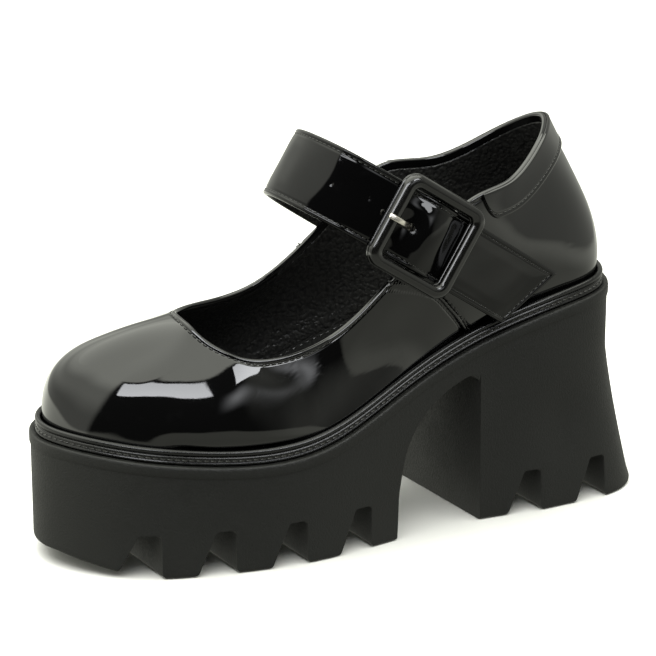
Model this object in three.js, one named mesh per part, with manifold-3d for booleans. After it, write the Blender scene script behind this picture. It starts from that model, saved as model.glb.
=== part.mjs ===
import * as THREE from 'three';
import { mergeVertices } from 'three/addons/utils/BufferGeometryUtils.js';
import Module from 'manifold-3d';

// Platform shoe for the left foot, one strap over the instep, in millimetres.
// X points to the outer side of the foot, Y from toe to heel, Z up from the floor.
// Lengths in the tables are shares of the sizes named here.

// Upper
const lastLength = 238.5;
const ballWidth = 90;
const collarHeight = 71.5;
const upperWall = 2.2;
const clearance = 0.3;

// Sole
const platformHeight = 44.6;
const heelHeight = 91.5;
const toeSpring = 7;
const ledgeWidth = 2;
const bandHeight = 4.6;
const bandProud = 0.5;
const heelFlare = 14.6;
const heelSideFlare = 1.3;
const soleEdge = 1;
const lugChannelDepth = 18.5;
const lugChannelMouth = 14.5;
const lugChannelTop = 7.8;
const lugCorner = 2.6;

// Welt
const weltWidth = 3;
const weltHeight = 6.2;

// Insole
const insoleThickness = 3.6;

// Collar band
const collarBandDepth = 13;
const collarBandThickness = 0.9;

// Strap
const strapWidth = 29.3;
const strapThickness = 2.4;
const strapPitch = 33.6;
const strapHoleLength = 6.4;
const strapHoleWidth = 3.2;
const strapSwell = 2.8;
const strapEase = 0.5;

// Buckle
const buckleRun = 0.6864;
const frameBar = 6.4;
const frameLength = 42;
const frameHeight = 40.8;
const frameThickness = 3.8;
const frameCorner = 9;
const frameInnerCorner = 2.6;
const axleRadius = 0.8;
const eyeWall = 0.8;
const prongWidth = 2.3;
const prongThickness = 1.7;
const prongHolePlace = -9.8;

const soleOverhang = weltWidth + ledgeWidth;
const strapAngle = THREE.MathUtils.degToRad(strapPitch);
const stationsAround = 80;
const manifold = await Module();
manifold.setup();

// Rows round the upper, from the toe tip by the outer side to the heel and back.
// Foot of the wall: across (of ball width), along (of last length).
// Topline: across, along, rise above the footbed (of collar height).
// Curve between them: rise and flare at the foot, reach and pitch at the topline.
const upperRows = [
  // footX, footY, topX, topY, topRise, rise, flare, reach, pitch
  [-0.367, -0.009, -0.156, 0.208, 0.745, 0.413, 0.007, 0.448, 14],
  [-0.183, 0.005, -0.045, 0.205, 0.730, 0.400, -0.055, 0.370, 41],
  [-0.033, 0.046, 0.020, 0.218, 0.672, 0.360, -0.045, 0.280, 50],
  [0.089, 0.099, 0.084, 0.240, 0.620, 0.265, -0.035, 0.265, 51],
  [0.167, 0.166, 0.130, 0.272, 0.575, 0.045, 0.060, 0.270, 50],
  [0.233, 0.254, 0.160, 0.320, 0.548, 0.040, 0.085, 0.205, 63],
  [0.278, 0.358, 0.185, 0.394, 0.549, 0.060, 0.015, 0.148, 75],
  [0.267, 0.472, 0.223, 0.471, 0.607, 0.155, -0.045, 0.180, 86],
  [0.239, 0.589, 0.271, 0.572, 0.773, 0.240, -0.010, 0.250, 88],
  [0.239, 0.706, 0.311, 0.673, 0.912, 0.252, 0.088, 0.280, 86],
  [0.272, 0.820, 0.283, 0.761, 0.887, 0.280, 0.088, 0.280, 84],
  [0.256, 0.925, 0.167, 0.843, 0.950, 0.308, 0.056, 0.280, 74],
  [0.139, 0.981, 0.044, 0.891, 0.989, 0.336, 0.056, 0.280, 68],
  [-0.056, 1.000, -0.078, 0.916, 1.002, 0.350, 0.056, 0.280, 66],
  [-0.244, 0.983, -0.200, 0.904, 0.958, 0.336, 0.056, 0.280, 68],
  [-0.367, 0.925, -0.322, 0.864, 0.866, 0.308, 0.056, 0.280, 74],
  [-0.406, 0.820, -0.406, 0.769, 0.812, 0.280, 0.056, 0.280, 84],
  [-0.444, 0.702, -0.428, 0.660, 0.921, 0.252, 0.042, 0.280, 88],
  [-0.522, 0.581, -0.456, 0.564, 0.789, 0.224, 0.028, 0.252, 84],
  [-0.622, 0.463, -0.478, 0.463, 0.669, 0.224, 0.028, 0.196, 62],
  [-0.689, 0.346, -0.456, 0.379, 0.668, 0.238, 0.042, 0.182, 52],
  [-0.711, 0.233, -0.400, 0.304, 0.700, 0.252, 0.042, 0.224, 38],
  [-0.683, 0.124, -0.328, 0.252, 0.720, 0.294, 0.028, 0.294, 27],
  [-0.572, 0.038, -0.244, 0.220, 0.736, 0.364, 0.014, 0.392, 19],
];

// Height of the footbed from the toe back: along, share from platform to heel height.
const footbedRows = [
  [-0.019, 0.158],
  [0.107, 0.079],
  [0.254, 0.0],
  [0.4, 0.077],
  [0.547, 0.388],
  [0.715, 0.723],
  [0.862, 0.915],
  [1.017, 1.0],
];

// Opening between platform and heel: run from the platform, height, as shares.
const archStart = 0.531;
const archLength = 0.1744;
const archHeight = 0.7027;
const archRows = [
  [0.0, -0.016],
  [0.01, 0.103],
  [0.019, 0.272],
  [0.048, 0.404],
  [0.082, 0.513],
  [0.142, 0.63],
  [0.233, 0.726],
  [0.37, 0.827],
  [0.567, 0.921],
  [0.755, 0.978],
  [0.913, 1.0],
  [0.971, 0.967],
  [0.986, 0.902],
  [1.0, -0.016],
];

// Rear wall of each channel across the tread, as a share of the last length.
const channelPlaces = [0.105, 0.224, 0.348, 0.476, 0.823, 0.961];

// Profile of the sole's wall: share of the drop to the floor, then outward step.
const soleWallDrops = [1, 0.94, 0.8, 0.62, 0.44, 0.26, 0.1];

// Middle of the strap's outer face where it crosses the instep, as shares of
// ball width, last length and of the collar height above the footbed.
const strapOrigin = { across: -0.033, along: 0.4, height: 1.514 };

// Outer face of the strap in its own sloping plane, from the inner side over the
// instep to the tail: shares of collar height down the slope, of ball width across.
const strapRows = [
  // run down the slope, across at the lower edge, across at the upper edge
  [0.9015, -0.4704, -0.4379],
  [0.7581, -0.4688, -0.4395],
  [0.6024, -0.4541, -0.4379],
  [0.4344, -0.4232, -0.4200],
  [0.2799, -0.3614, -0.3581],
  [0.1328, -0.2556, -0.2539],
  [0.0418, -0.1390, -0.1384],
  [0.0000, 0.0000, 0.0000],
  [0.0279, 0.1335, 0.1335],
  [0.1049, 0.2334, 0.2328],
  [0.2307, 0.3060, 0.3050],
  [0.4057, 0.3500, 0.3500],
  [0.5872, 0.3711, 0.3711],
  [0.7692, 0.3890, 0.3874],
  [0.9372, 0.3952, 0.3907],
  [1.1331, 0.3933, 0.3861],
  [1.3285, 0.3858, 0.3789],
  [1.4404, 0.3793, 0.3731],
  [1.5658, 0.3711, 0.3640],
];
const tailSlant = 0.464;

// Curves

// Control values of a closed even cubic spline that passes through the given values.
function throughRows(values) {
  const count = values.length;
  let control = [...values];
  for (let pass = 0; pass < 30; pass += 1) {
    control = control.map((c, i) => {
      const here = (control.at(i - 1) + 4 * c + control[(i + 1) % count]) / 6;
      return c + values[i] - here;
    });
  }
  return control;
}

function closedSpline(control, place) {
  const count = control.length;
  const row = Math.floor(place);
  const t = place - row;
  const [a, b, c, d] = [-1, 0, 1, 2].map((step) => control[(row + step + count) % count]);
  const s = 1 - t;
  const near = 3 * t ** 3 - 6 * t ** 2 + 4;
  const far = 3 * s ** 3 - 6 * s ** 2 + 4;
  return (a * s ** 3 + b * near + c * far + d * t ** 3) / 6;
}

// Smooth curve through rows of [place, value], straight beyond both ends.
function openSpline(rows) {
  const last = rows.length - 1;
  const bend = rows.map(() => 0);
  for (let pass = 0; pass < 200; pass += 1) {
    for (let i = 1; i < last; i += 1) {
      const [x0, y0] = rows[i - 1];
      const [x1, y1] = rows[i];
      const [x2, y2] = rows[i + 1];
      const pull = 6 * ((y2 - y1) / (x2 - x1) - (y1 - y0) / (x1 - x0));
      const sides = (x1 - x0) * bend[i - 1] + (x2 - x1) * bend[i + 1];
      bend[i] = (pull - sides) / (2 * (x2 - x0));
    }
  }
  return (place) => {
    let i = 0;
    while (i < last - 1 && place > rows[i + 1][0]) i += 1;
    const [x0, y0] = rows[i];
    const [x1, y1] = rows[i + 1];
    const h = x1 - x0;
    const t = Math.min(1, Math.max(0, (place - x0) / h));
    const s = 1 - t;
    const curve = (s ** 3 - s) * bend[i] + (t ** 3 - t) * bend[i + 1];
    return s * y0 + t * y1 + (h * h * curve) / 6;
  };
}

const footbedShare = openSpline(footbedRows);

function footbedHeight(y) {
  return platformHeight + (heelHeight - platformHeight) * footbedShare(y / lastLength);
}

const upperControls = upperRows[0].map((_, column) => throughRows(upperRows.map((row) => row[column])));

function upperValue(column, place) {
  return closedSpline(upperControls[column], place);
}

function footPoint(place) {
  return new THREE.Vector2(upperValue(0, place) * ballWidth, upperValue(1, place) * lastLength);
}

function toplinePoint(place) {
  const y = upperValue(3, place) * lastLength;
  const z = footbedHeight(y) + upperValue(4, place) * collarHeight;
  return new THREE.Vector3(upperValue(2, place) * ballWidth, y, z);
}

// Level direction pointing out of a closed plan curve that runs by the outer side.
function outward(curve, place) {
  const before = curve(place - 0.02);
  const after = curve(place + 0.02);
  return new THREE.Vector3(after.y - before.y, before.x - after.x, 0).normalize();
}

// Point on the upper's outer face: rise 0 at the footbed, 1 at the topline.
const weltShare = 0.12;

function upperPoint(place, rise) {
  const foot = footPoint(place);
  const base = footbedHeight(foot.y) + clearance;
  const low = new THREE.Vector3(foot.x, foot.y, base);
  if (rise < weltShare) {
    return low.setZ(base + (weltHeight * rise) / weltShare);
  }
  const start = low.clone().setZ(base + weltHeight);
  const end = toplinePoint(place);
  const footOut = outward(footPoint, place);
  const topOut = outward(toplinePoint, place);
  const pitch = THREE.MathUtils.degToRad(upperValue(8, place));
  const lift = upperValue(5, place) * collarHeight;
  const flare = upperValue(6, place) * collarHeight;
  const reach = upperValue(7, place) * collarHeight;
  const first = start.clone().addScaledVector(footOut, flare);
  first.z += lift;
  const second = end.clone().addScaledVector(topOut, reach * Math.cos(pitch));
  second.z -= reach * Math.sin(pitch);
  const t = (rise - weltShare) / (1 - weltShare);
  return new THREE.CubicBezierCurve3(start, first, second, end).getPoint(t);
}

// Outward normal of the upper's face.
function upperNormal(place, rise) {
  if (rise < weltShare * 1.01) {
    return outward(footPoint, place);
  }
  const ahead = upperPoint(place + 0.03, rise).sub(upperPoint(place - 0.03, rise));
  const low = Math.max(weltShare, rise - 0.01);
  const high = Math.min(1, rise + 0.01);
  const climb = upperPoint(place, high).sub(upperPoint(place, low));
  return ahead.cross(climb).normalize();
}

function upperOffset(place, rise, distance) {
  return upperPoint(place, rise).addScaledVector(upperNormal(place, rise), distance);
}

// Solids

// Closed body from points and triangles, turned so that its faces look outward.
function closedGeometry(points, triangles) {
  let volume = 0;
  const spatial = new THREE.Vector3();
  for (let i = 0; i < triangles.length; i += 3) {
    const [a, b, c] = [0, 1, 2].map((k) => points[triangles[i + k]]);
    volume += spatial.crossVectors(b, c).dot(a);
  }
  const indices = volume < 0 ? [...triangles].reverse() : triangles;
  const geometry = new THREE.BufferGeometry();
  const positions = points.flatMap((p) => [p.x, p.y, p.z]);
  geometry.setAttribute('position', new THREE.Float32BufferAttribute(positions, 3));
  geometry.setIndex(indices);
  return geometry;
}

function joinLoops(triangles, from, to, count) {
  for (let i = 0; i < count; i += 1) {
    const next = (i + 1) % count;
    triangles.push(from + i, from + next, to + next, from + i, to + next, to + i);
  }
}

// Ring-shaped body: the last loop joins the first.
function ringSolid(loops) {
  const count = loops[0].length;
  const triangles = [];
  loops.forEach((_, k) => joinLoops(triangles, k * count, ((k + 1) % loops.length) * count, count));
  return closedGeometry(loops.flat(), triangles);
}

// Cap across a closed loop that runs out along Y on one side and back on the other.
function stripCap(triangles, loop, first, flip) {
  const count = loop.length;
  const ys = loop.map((p) => p.y);
  const start = ys.indexOf(Math.min(...ys));
  const end = ys.indexOf(Math.max(...ys));
  let i = start;
  let j = start;
  while (i !== end || j !== end) {
    const nextI = (i + 1) % count;
    const nextJ = (j - 1 + count) % count;
    const moveI = j === end || (i !== end && ys[nextI] < ys[nextJ]);
    const triangle = moveI ? [i, nextI, j] : [i, nextJ, j];
    const ordered = flip ? triangle.reverse() : triangle;
    triangles.push(...ordered.map((k) => first + k));
    if (moveI) i = nextI;
    else j = nextJ;
  }
}

// Body between stacked loops in plan, closed with strips at the bottom and top.
function stackedSolid(loops) {
  const count = loops[0].length;
  const triangles = [];
  for (let k = 0; k < loops.length - 1; k += 1) {
    joinLoops(triangles, k * count, (k + 1) * count, count);
  }
  stripCap(triangles, loops[0], 0, true);
  stripCap(triangles, loops.at(-1), (loops.length - 1) * count, false);
  return closedGeometry(loops.flat(), triangles);
}

// Body swept through convex sections, closed with a fan at each end.
function sweptSolid(sections) {
  const count = sections[0].length;
  const triangles = [];
  for (let k = 0; k < sections.length - 1; k += 1) {
    joinLoops(triangles, k * count, (k + 1) * count, count);
  }
  const last = (sections.length - 1) * count;
  for (let i = 1; i < count - 1; i += 1) {
    triangles.push(0, i + 1, i, last, last + i, last + i + 1);
  }
  return closedGeometry(sections.flat(), triangles);
}

function toManifold(geometry) {
  const plain = geometry.clone();
  plain.deleteAttribute('normal');
  plain.deleteAttribute('uv');
  const merged = mergeVertices(plain, 1e-4);
  const vertProperties = new Float32Array(merged.attributes.position.array);
  const triVerts = new Uint32Array(merged.index.array);
  return new manifold.Manifold(new manifold.Mesh({ numProp: 3, vertProperties, triVerts }));
}

function fromManifold(solid) {
  const mesh = solid.getMesh();
  const geometry = new THREE.BufferGeometry();
  geometry.setAttribute('position', new THREE.Float32BufferAttribute(mesh.vertProperties, 3));
  geometry.setIndex(Array.from(mesh.triVerts));
  return geometry;
}

// Straight prism across the shoe from a side profile of [y, z] points.
function crossPrism(profile) {
  const halfWidth = ballWidth;
  const flat = profile.map(([y, z]) => new THREE.Vector2(y, z));
  if (THREE.ShapeUtils.isClockWise(flat)) flat.reverse();
  const sides = [-halfWidth, halfWidth].map((x) => flat.map((p) => new THREE.Vector3(x, p.x, p.y)));
  const count = flat.length;
  const triangles = [];
  joinLoops(triangles, 0, count, count);
  THREE.ShapeUtils.triangulateShape(flat, []).forEach(([a, b, c]) => {
    triangles.push(a, c, b, a + count, b + count, c + count);
  });
  return closedGeometry(sides.flat(), triangles);
}

function placesAround(count = stationsAround) {
  return Array.from({ length: count }, (_, i) => (i * upperRows.length) / count);
}

// Upper

function upperGeometry() {
  const rises = [0, weltShare, 0.2, 0.29, 0.39, 0.49, 0.59, 0.69, 0.79, 0.89, 1];
  const places = placesAround();
  const outer = rises.map((rise) => places.map((place) => upperPoint(place, rise)));
  const inner = rises.map((rise) => places.map((place) => upperOffset(place, rise, -upperWall)));
  return ringSolid([...outer, ...inner.reverse()]);
}

// Share of the rise at a depth below the topline, measured along the upper's face.
function riseBelowTopline(place, depth) {
  let walked = 0;
  let rise = 1;
  let here = upperPoint(place, 1);
  while (walked < depth && rise > weltShare) {
    rise -= 0.005;
    const next = upperPoint(place, rise);
    walked += next.distanceTo(here);
    here = next;
  }
  return rise;
}

// Raised band stitched round the heel part of the collar.
function collarBandGeometry() {
  const [from, to, count] = [9.25, 16.75, 38];
  const endDepth = collarBandDepth * 0.2;
  const sections = [];
  for (let i = 0; i <= count; i += 1) {
    const place = from + ((to - from) * i) / count;
    const taper = Math.min(1, i / 2, (count - i) / 2);
    const depth = endDepth + (collarBandDepth - endDepth) * taper;
    const low = riseBelowTopline(place, depth);
    const high = riseBelowTopline(place, clearance);
    const near = clearance * 1.3;
    const far = near + collarBandThickness;
    const middle = (low + high) / 2;
    sections.push([
      upperOffset(place, low, near),
      upperOffset(place, low, far),
      upperOffset(place, middle, far),
      upperOffset(place, high, far),
      upperOffset(place, high, near),
      upperOffset(place, middle, near),
    ]);
  }
  return sweptSolid(sections);
}

// Sole

// Lowest height of the tread: flat, then lifted towards the toe.
function treadHeight(y) {
  const run = Math.max(0, 0.11 - y / lastLength) / 0.13;
  return toeSpring * Math.min(run, 1) ** 1.6;
}

function soleOutline(place, extra) {
  const foot = footPoint(place);
  const out = outward(footPoint, place);
  return new THREE.Vector3(foot.x, foot.y, 0).addScaledVector(out, soleOverhang + extra);
}

// How far the heel's wall leans out at a share of the drop to the floor.
function heelLean(place, drop) {
  const foot = footPoint(place);
  const out = outward(footPoint, place);
  const backward = Math.max(0, out.y) ** 1.3;
  const alongHeel = THREE.MathUtils.smoothstep(foot.y / lastLength, 0.7, 0.85);
  const lean = Math.max(0, (drop - 0.26) / 0.74) ** 1.2;
  return alongHeel * lean * (heelFlare * backward + heelSideFlare * (1 - backward));
}

function soleLoop(drop, extra, lift = 0) {
  return placesAround().map((place) => {
    const edge = soleOutline(place, extra + heelLean(place, drop));
    const top = footbedHeight(drop === 0 ? edge.y : soleOutline(place, 0).y);
    const bottom = treadHeight(edge.y);
    return edge.setZ(top - bandHeight + (bottom + bandHeight - top) * drop + lift);
  });
}

function soleBody() {
  const walls = soleWallDrops.map((drop) => soleLoop(drop, 0, drop === 1 ? soleEdge : 0));
  return stackedSolid([
    soleLoop(1, -soleEdge),
    ...walls,
    soleLoop(0, 0),
    soleLoop(0, bandProud, bandProud),
    soleLoop(0, bandProud, bandHeight - bandProud),
    soleLoop(0, 0, bandHeight),
    soleLoop(0, -ledgeWidth, bandHeight),
  ]);
}

// Cross channel of the tread: upright rear wall, slanted front wall, eased corners.
function channelProfile(rear) {
  const front = rear - lugChannelMouth;
  return [
    [front - lugCorner, -1],
    [front - lugCorner, 0],
    [front, lugCorner],
    [rear - lugChannelTop, lugChannelDepth],
    [rear, lugChannelDepth],
    [rear, lugCorner],
    [rear + lugCorner, 0],
    [rear + lugCorner, -1],
  ];
}

function archProfile() {
  const start = archStart * lastLength;
  return archRows.map(([run, height]) => [
    start + run * archLength * lastLength,
    height * archHeight * heelHeight,
  ]);
}

function soleGeometry() {
  const cuts = channelPlaces.map((share) => channelProfile(share * lastLength));
  const profiles = [archProfile(), ...cuts];
  const solid = profiles.reduce(
    (body, profile) => body.subtract(toManifold(crossPrism(profile))),
    toManifold(soleBody()),
  );
  return fromManifold(solid);
}

// Welt: a flat band with a rounded bead at its upper edge.
function weltGeometry() {
  const bead = weltWidth * 0.42;
  const beadHeight = weltHeight - bead;
  const profile = [
    [clearance, clearance],
    [weltWidth, clearance],
    [weltWidth, beadHeight - bead],
    [weltWidth - bead * 0.35, beadHeight - bead * 0.55],
    [weltWidth, beadHeight],
    [weltWidth - bead * 0.3, beadHeight + bead * 0.7],
    [weltWidth - bead, beadHeight + bead],
    [clearance + bead * 0.3, beadHeight + bead * 0.7],
    [clearance, beadHeight],
  ];
  const loops = profile.map(([step, height]) => placesAround().map((place) => {
    const edge = soleOutline(place, step - soleOverhang);
    return edge.setZ(footbedHeight(edge.y) + height);
  }));
  return ringSolid(loops);
}

// Insole: rests on the sole inside the upper.
function insoleGeometry() {
  const loop = (inset, lift) => placesAround().map((place) => {
    const edge = soleOutline(place, -soleOverhang - upperWall - clearance - inset);
    return edge.setZ(footbedHeight(edge.y) + lift);
  });
  const edge = insoleThickness * 0.25;
  return stackedSolid([
    loop(0, clearance),
    loop(0, clearance + insoleThickness - edge),
    loop(edge, clearance + insoleThickness),
  ]);
}

// Strap

const strapDown = new THREE.Vector3(0, Math.cos(strapAngle), -Math.sin(strapAngle));
const strapUp = new THREE.Vector3(0, Math.sin(strapAngle), Math.cos(strapAngle));
const strapMiddleY = strapOrigin.along * lastLength;
const strapMiddle = new THREE.Vector3(
  strapOrigin.across * ballWidth,
  strapMiddleY,
  footbedHeight(strapMiddleY) + strapOrigin.height * collarHeight,
);
const strapColumn = (column) => openSpline(strapRows.map((row, i) => [i, row[column]]));
const strapRunAt = strapColumn(0);
const strapLowAt = strapColumn(1);
const strapHighAt = strapColumn(2);

// Point of the strap's outer face: row place along it, share of its width from below.
function strapFace(place, width) {
  const across = strapLowAt(place) * (1 - width) + strapHighAt(place) * width;
  return strapMiddle.clone()
    .add(new THREE.Vector3(across * ballWidth, 0, 0))
    .addScaledVector(strapDown, strapRunAt(place) * collarHeight)
    .addScaledVector(strapUp, (width - 0.5) * strapWidth);
}

function strapNormal(place, width) {
  const along = strapFace(place + 0.05, width).sub(strapFace(place - 0.05, width));
  return along.cross(strapUp).normalize();
}

// Row place of the strap at a run down the lateral side.
function placeOfRun(run) {
  let [low, high] = [7, strapRows.length - 1];
  for (let pass = 0; pass < 40; pass += 1) {
    const middle = (low + high) / 2;
    if (strapRunAt(middle) < run) low = middle;
    else high = middle;
  }
  return low;
}

// Axes of the buckle on the strap's face: along, up and out of it.
const bucklePlace = placeOfRun(buckleRun);
const buckleCentre = strapFace(bucklePlace, 0.5);
const buckleOut = strapNormal(bucklePlace, 0.5);
const buckleAlong = strapUp.clone().cross(buckleOut).normalize();
const frameOpening = { along: frameLength - 2 * frameBar, up: strapWidth + 2 * clearance };

function bucklePoint(along, up, out) {
  return buckleCentre.clone()
    .addScaledVector(buckleAlong, along)
    .addScaledVector(strapUp, up)
    .addScaledVector(buckleOut, out);
}

// The strap swells inside the frame, where it passes over the axle.
function strapPoint(place, width, depth) {
  const slant = THREE.MathUtils.smoothstep(place, strapRows.length - 3, strapRows.length - 1);
  const shift = (width - 0.5) * tailSlant * slant * strapWidth;
  const face = strapFace(place, width).addScaledVector(strapDown, shift);
  const away = face.clone().sub(buckleCentre).dot(buckleAlong);
  const reach = frameOpening.along / 2 - 2 * strapEase;
  const inFrame = place > 7 && Math.abs(away) < reach;
  const swell = inFrame ? strapSwell * Math.cos((Math.PI * away) / (2 * reach)) ** 2 : 0;
  return face.addScaledVector(strapNormal(place, width), swell - depth);
}

function boxInBuckle(along, up, out, size) {
  const geometry = new THREE.BoxGeometry(size[0], size[1], size[2]);
  const turn = new THREE.Matrix4().makeBasis(buckleAlong, strapUp, buckleOut);
  geometry.applyMatrix4(turn.setPosition(bucklePoint(along, up, out)));
  return toManifold(geometry);
}

function strapGeometry() {
  const side = strapEase / strapWidth;
  const corners = [
    [side, 0],
    [0.5, 0],
    [1 - side, 0],
    [1, strapEase],
    [1, strapThickness - strapEase],
    [1 - side, strapThickness],
    [0.5, strapThickness],
    [side, strapThickness],
    [0, strapThickness - strapEase],
    [0, strapEase],
  ];
  const sections = [];
  const last = strapRows.length - 1;
  const steps = last * 4;
  for (let i = 0; i <= steps; i += 1) {
    const place = (i * last) / steps;
    sections.push(corners.map(([width, depth]) => strapPoint(place, width, depth)));
  }
  const cutDepth = 6 * strapThickness;
  const hole = boxInBuckle(prongHolePlace, 0, 0, [strapHoleLength, strapHoleWidth, cutDepth]);
  return fromManifold(toManifold(sweptSolid(sections)).subtract(hole));
}

// Buckle

// Rounded rectangle in the frame's bars: spread -1 at the opening, 1 at the outside.
function frameLoop(spread, out) {
  const share = (spread + 1) / 2;
  const halfAlong = THREE.MathUtils.lerp(frameOpening.along, frameLength, share) / 2;
  const halfUp = THREE.MathUtils.lerp(frameOpening.up, frameHeight, share) / 2;
  const radius = THREE.MathUtils.lerp(frameInnerCorner, frameCorner, share);
  const points = [];
  const corners = [[1, 1], [-1, 1], [-1, -1], [1, -1]];
  corners.forEach(([sideAlong, sideUp], quarter) => {
    for (let i = 0; i <= 6; i += 1) {
      const angle = ((quarter + i / 6) * Math.PI) / 2;
      const along = sideAlong * (halfAlong - radius) + radius * Math.cos(angle);
      const up = sideUp * (halfUp - radius) + radius * Math.sin(angle);
      points.push(bucklePoint(along, up, clearance + out));
    }
  });
  return points;
}

const axleDepth = strapSwell - strapThickness - clearance - eyeWall - clearance - axleRadius;

function buckleFrameGeometry() {
  const ring = ringSolid([
    frameLoop(-1, 0),
    frameLoop(1, 0),
    frameLoop(1, frameThickness * 0.45),
    frameLoop(0.72, frameThickness * 0.85),
    frameLoop(0.3, frameThickness),
    frameLoop(-0.3, frameThickness),
    frameLoop(-0.72, frameThickness * 0.85),
    frameLoop(-1, frameThickness * 0.45),
  ]);
  const postUp = strapWidth / 2 + clearance + axleRadius;
  const postTop = clearance + frameThickness * 0.3;
  const postLow = axleDepth - axleRadius;
  const postSize = [axleRadius * 2, axleRadius * 2, postTop - postLow];
  const posts = [-1, 1].map((end) => boxInBuckle(0, end * postUp, (postTop + postLow) / 2, postSize));
  const axle = new THREE.CylinderGeometry(axleRadius, axleRadius, postUp * 2, 16);
  const turn = new THREE.Matrix4().makeBasis(buckleAlong, strapUp, buckleOut);
  axle.applyMatrix4(turn.setPosition(bucklePoint(0, 0, axleDepth)));
  const parts = [toManifold(axle), ...posts];
  return fromManifold(parts.reduce((body, part) => body.add(part), toManifold(ring)));
}

// Prong: an eye round the axle, a blade up through the strap's hole and over the bar.
function buckleProngGeometry() {
  const bore = axleRadius + clearance;
  const eyeLoop = (radius, up) => Array.from({ length: 20 }, (_, i) => {
    const angle = (i * Math.PI) / 10;
    return bucklePoint(radius * Math.cos(angle), up, axleDepth + radius * Math.sin(angle));
  });
  const half = prongWidth / 2;
  const eye = ringSolid([
    eyeLoop(bore, -half),
    eyeLoop(bore + eyeWall, -half),
    eyeLoop(bore + eyeWall, half),
    eyeLoop(bore, half),
  ]);
  const rest = clearance + frameThickness + clearance + prongThickness / 2;
  const bar = -(frameLength - frameBar) / 2;
  const path = new THREE.CatmullRomCurve3([
    [-1.5, axleDepth - 0.1],
    [-4.5, axleDepth - 0.3],
    [prongHolePlace + 2.6, axleDepth - 0.4],
    [prongHolePlace + 0.1, axleDepth + 1.6],
    [prongHolePlace - 2.4, axleDepth + 4.8],
    [bar + 2.2, rest - 0.15],
    [bar, rest],
    [bar - 1.6, rest - 0.2],
    [bar - frameBar / 2 - 0.5, rest - 0.8],
  ].map(([along, out]) => new THREE.Vector3(along, out, 0)), false, 'centripetal');
  const sections = [];
  const steps = 26;
  for (let i = 0; i <= steps; i += 1) {
    const at = path.getPoint(i / steps);
    const direction = path.getTangent(i / steps);
    const thin = i === steps ? 0.5 : 1;
    const corner = 0.55;
    const outline = [[-1, -corner], [-corner, -1], [corner, -1], [1, -corner],
      [1, corner], [corner, 1], [-corner, 1], [-1, corner]];
    sections.push(outline.map(([wide, high]) => {
      const lift = (high * prongThickness * thin) / 2;
      return bucklePoint(at.x - direction.y * lift, wide * half * thin, at.y + direction.x * lift);
    }));
  }
  return fromManifold(toManifold(eye).add(toManifold(sweptSolid(sections))));
}

// Materials

function patentLeather(color) {
  return new THREE.MeshStandardMaterial({ color, roughness: 0.12, metalness: 0 });
}

function mouldedRubber() {
  return new THREE.MeshStandardMaterial({ color: 0x1c1d1c, roughness: 0.62, metalness: 0 });
}

function weltStrip() {
  return new THREE.MeshStandardMaterial({ color: 0x161716, roughness: 0.4, metalness: 0 });
}

function grainedLining() {
  return new THREE.MeshStandardMaterial({ color: 0x1a1a1a, roughness: 0.7, metalness: 0 });
}

function glossFrame() {
  return new THREE.MeshStandardMaterial({ color: 0x0e0e0f, roughness: 0.16, metalness: 0 });
}

function polishedSteel() {
  return new THREE.MeshStandardMaterial({ color: 0xc9c9cc, roughness: 0.2, metalness: 1 });
}

// Assembly

const pieces = [
  ['sole_unit', soleGeometry(), mouldedRubber()],
  ['welt', weltGeometry(), weltStrip()],
  ['upper', upperGeometry(), patentLeather(0x0c0c0d)],
  ['collar_band', collarBandGeometry(), patentLeather(0x0b0b0c)],
  ['insole', insoleGeometry(), grainedLining()],
  ['strap', strapGeometry(), patentLeather(0x0d0d0e)],
  ['buckle_frame', buckleFrameGeometry(), glossFrame()],
  ['buckle_prong', buckleProngGeometry(), polishedSteel()],
];

const shoe = new THREE.Group();
shoe.name = 'platform_shoe';
pieces.forEach(([name, geometry, material]) => {
  const mesh = new THREE.Mesh(geometry, material);
  mesh.name = name;
  shoe.add(mesh);
});

// Origin in the middle of the shoe's box, on the floor.
const box = new THREE.Box3().setFromObject(shoe);
const middle = box.getCenter(new THREE.Vector3());
shoe.children.forEach((mesh) => {
  mesh.geometry.translate(-middle.x, -middle.y, -box.min.z);
  mesh.geometry.computeVertexNormals();
});

export default shoe;
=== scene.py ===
"""Platform shoe for the left foot: the visual model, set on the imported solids.

Forms are worked out in part millimetres (X to the outer side, Y from toe to heel, Z up
from the floor) and moved into the row frame, in metres, when a mesh is made.
"""

import logging
import math
from collections.abc import Callable, Sequence
from dataclasses import dataclass, field
from enum import Enum
from functools import cached_property
from typing import ClassVar

import bmesh
import bpy
import numpy as np
from mathutils import Matrix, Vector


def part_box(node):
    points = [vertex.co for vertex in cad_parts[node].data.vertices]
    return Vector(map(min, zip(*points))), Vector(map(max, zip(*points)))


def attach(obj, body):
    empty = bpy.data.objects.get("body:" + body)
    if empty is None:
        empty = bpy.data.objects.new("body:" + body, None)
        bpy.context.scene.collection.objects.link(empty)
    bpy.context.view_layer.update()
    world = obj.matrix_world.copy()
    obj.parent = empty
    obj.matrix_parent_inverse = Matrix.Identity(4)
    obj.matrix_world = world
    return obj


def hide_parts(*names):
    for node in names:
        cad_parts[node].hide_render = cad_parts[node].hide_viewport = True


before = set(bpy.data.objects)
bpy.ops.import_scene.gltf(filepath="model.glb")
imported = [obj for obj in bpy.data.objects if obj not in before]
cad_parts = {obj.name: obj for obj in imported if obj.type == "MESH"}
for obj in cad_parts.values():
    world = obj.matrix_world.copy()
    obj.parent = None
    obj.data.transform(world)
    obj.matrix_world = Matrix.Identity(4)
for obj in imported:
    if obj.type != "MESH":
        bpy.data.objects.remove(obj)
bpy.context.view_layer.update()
LOG = logging.getLogger("shoe")
Points = np.ndarray
Curve = Callable[[Points], Points]
Mesh, Object = bpy.types.Mesh, bpy.types.Object
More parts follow.
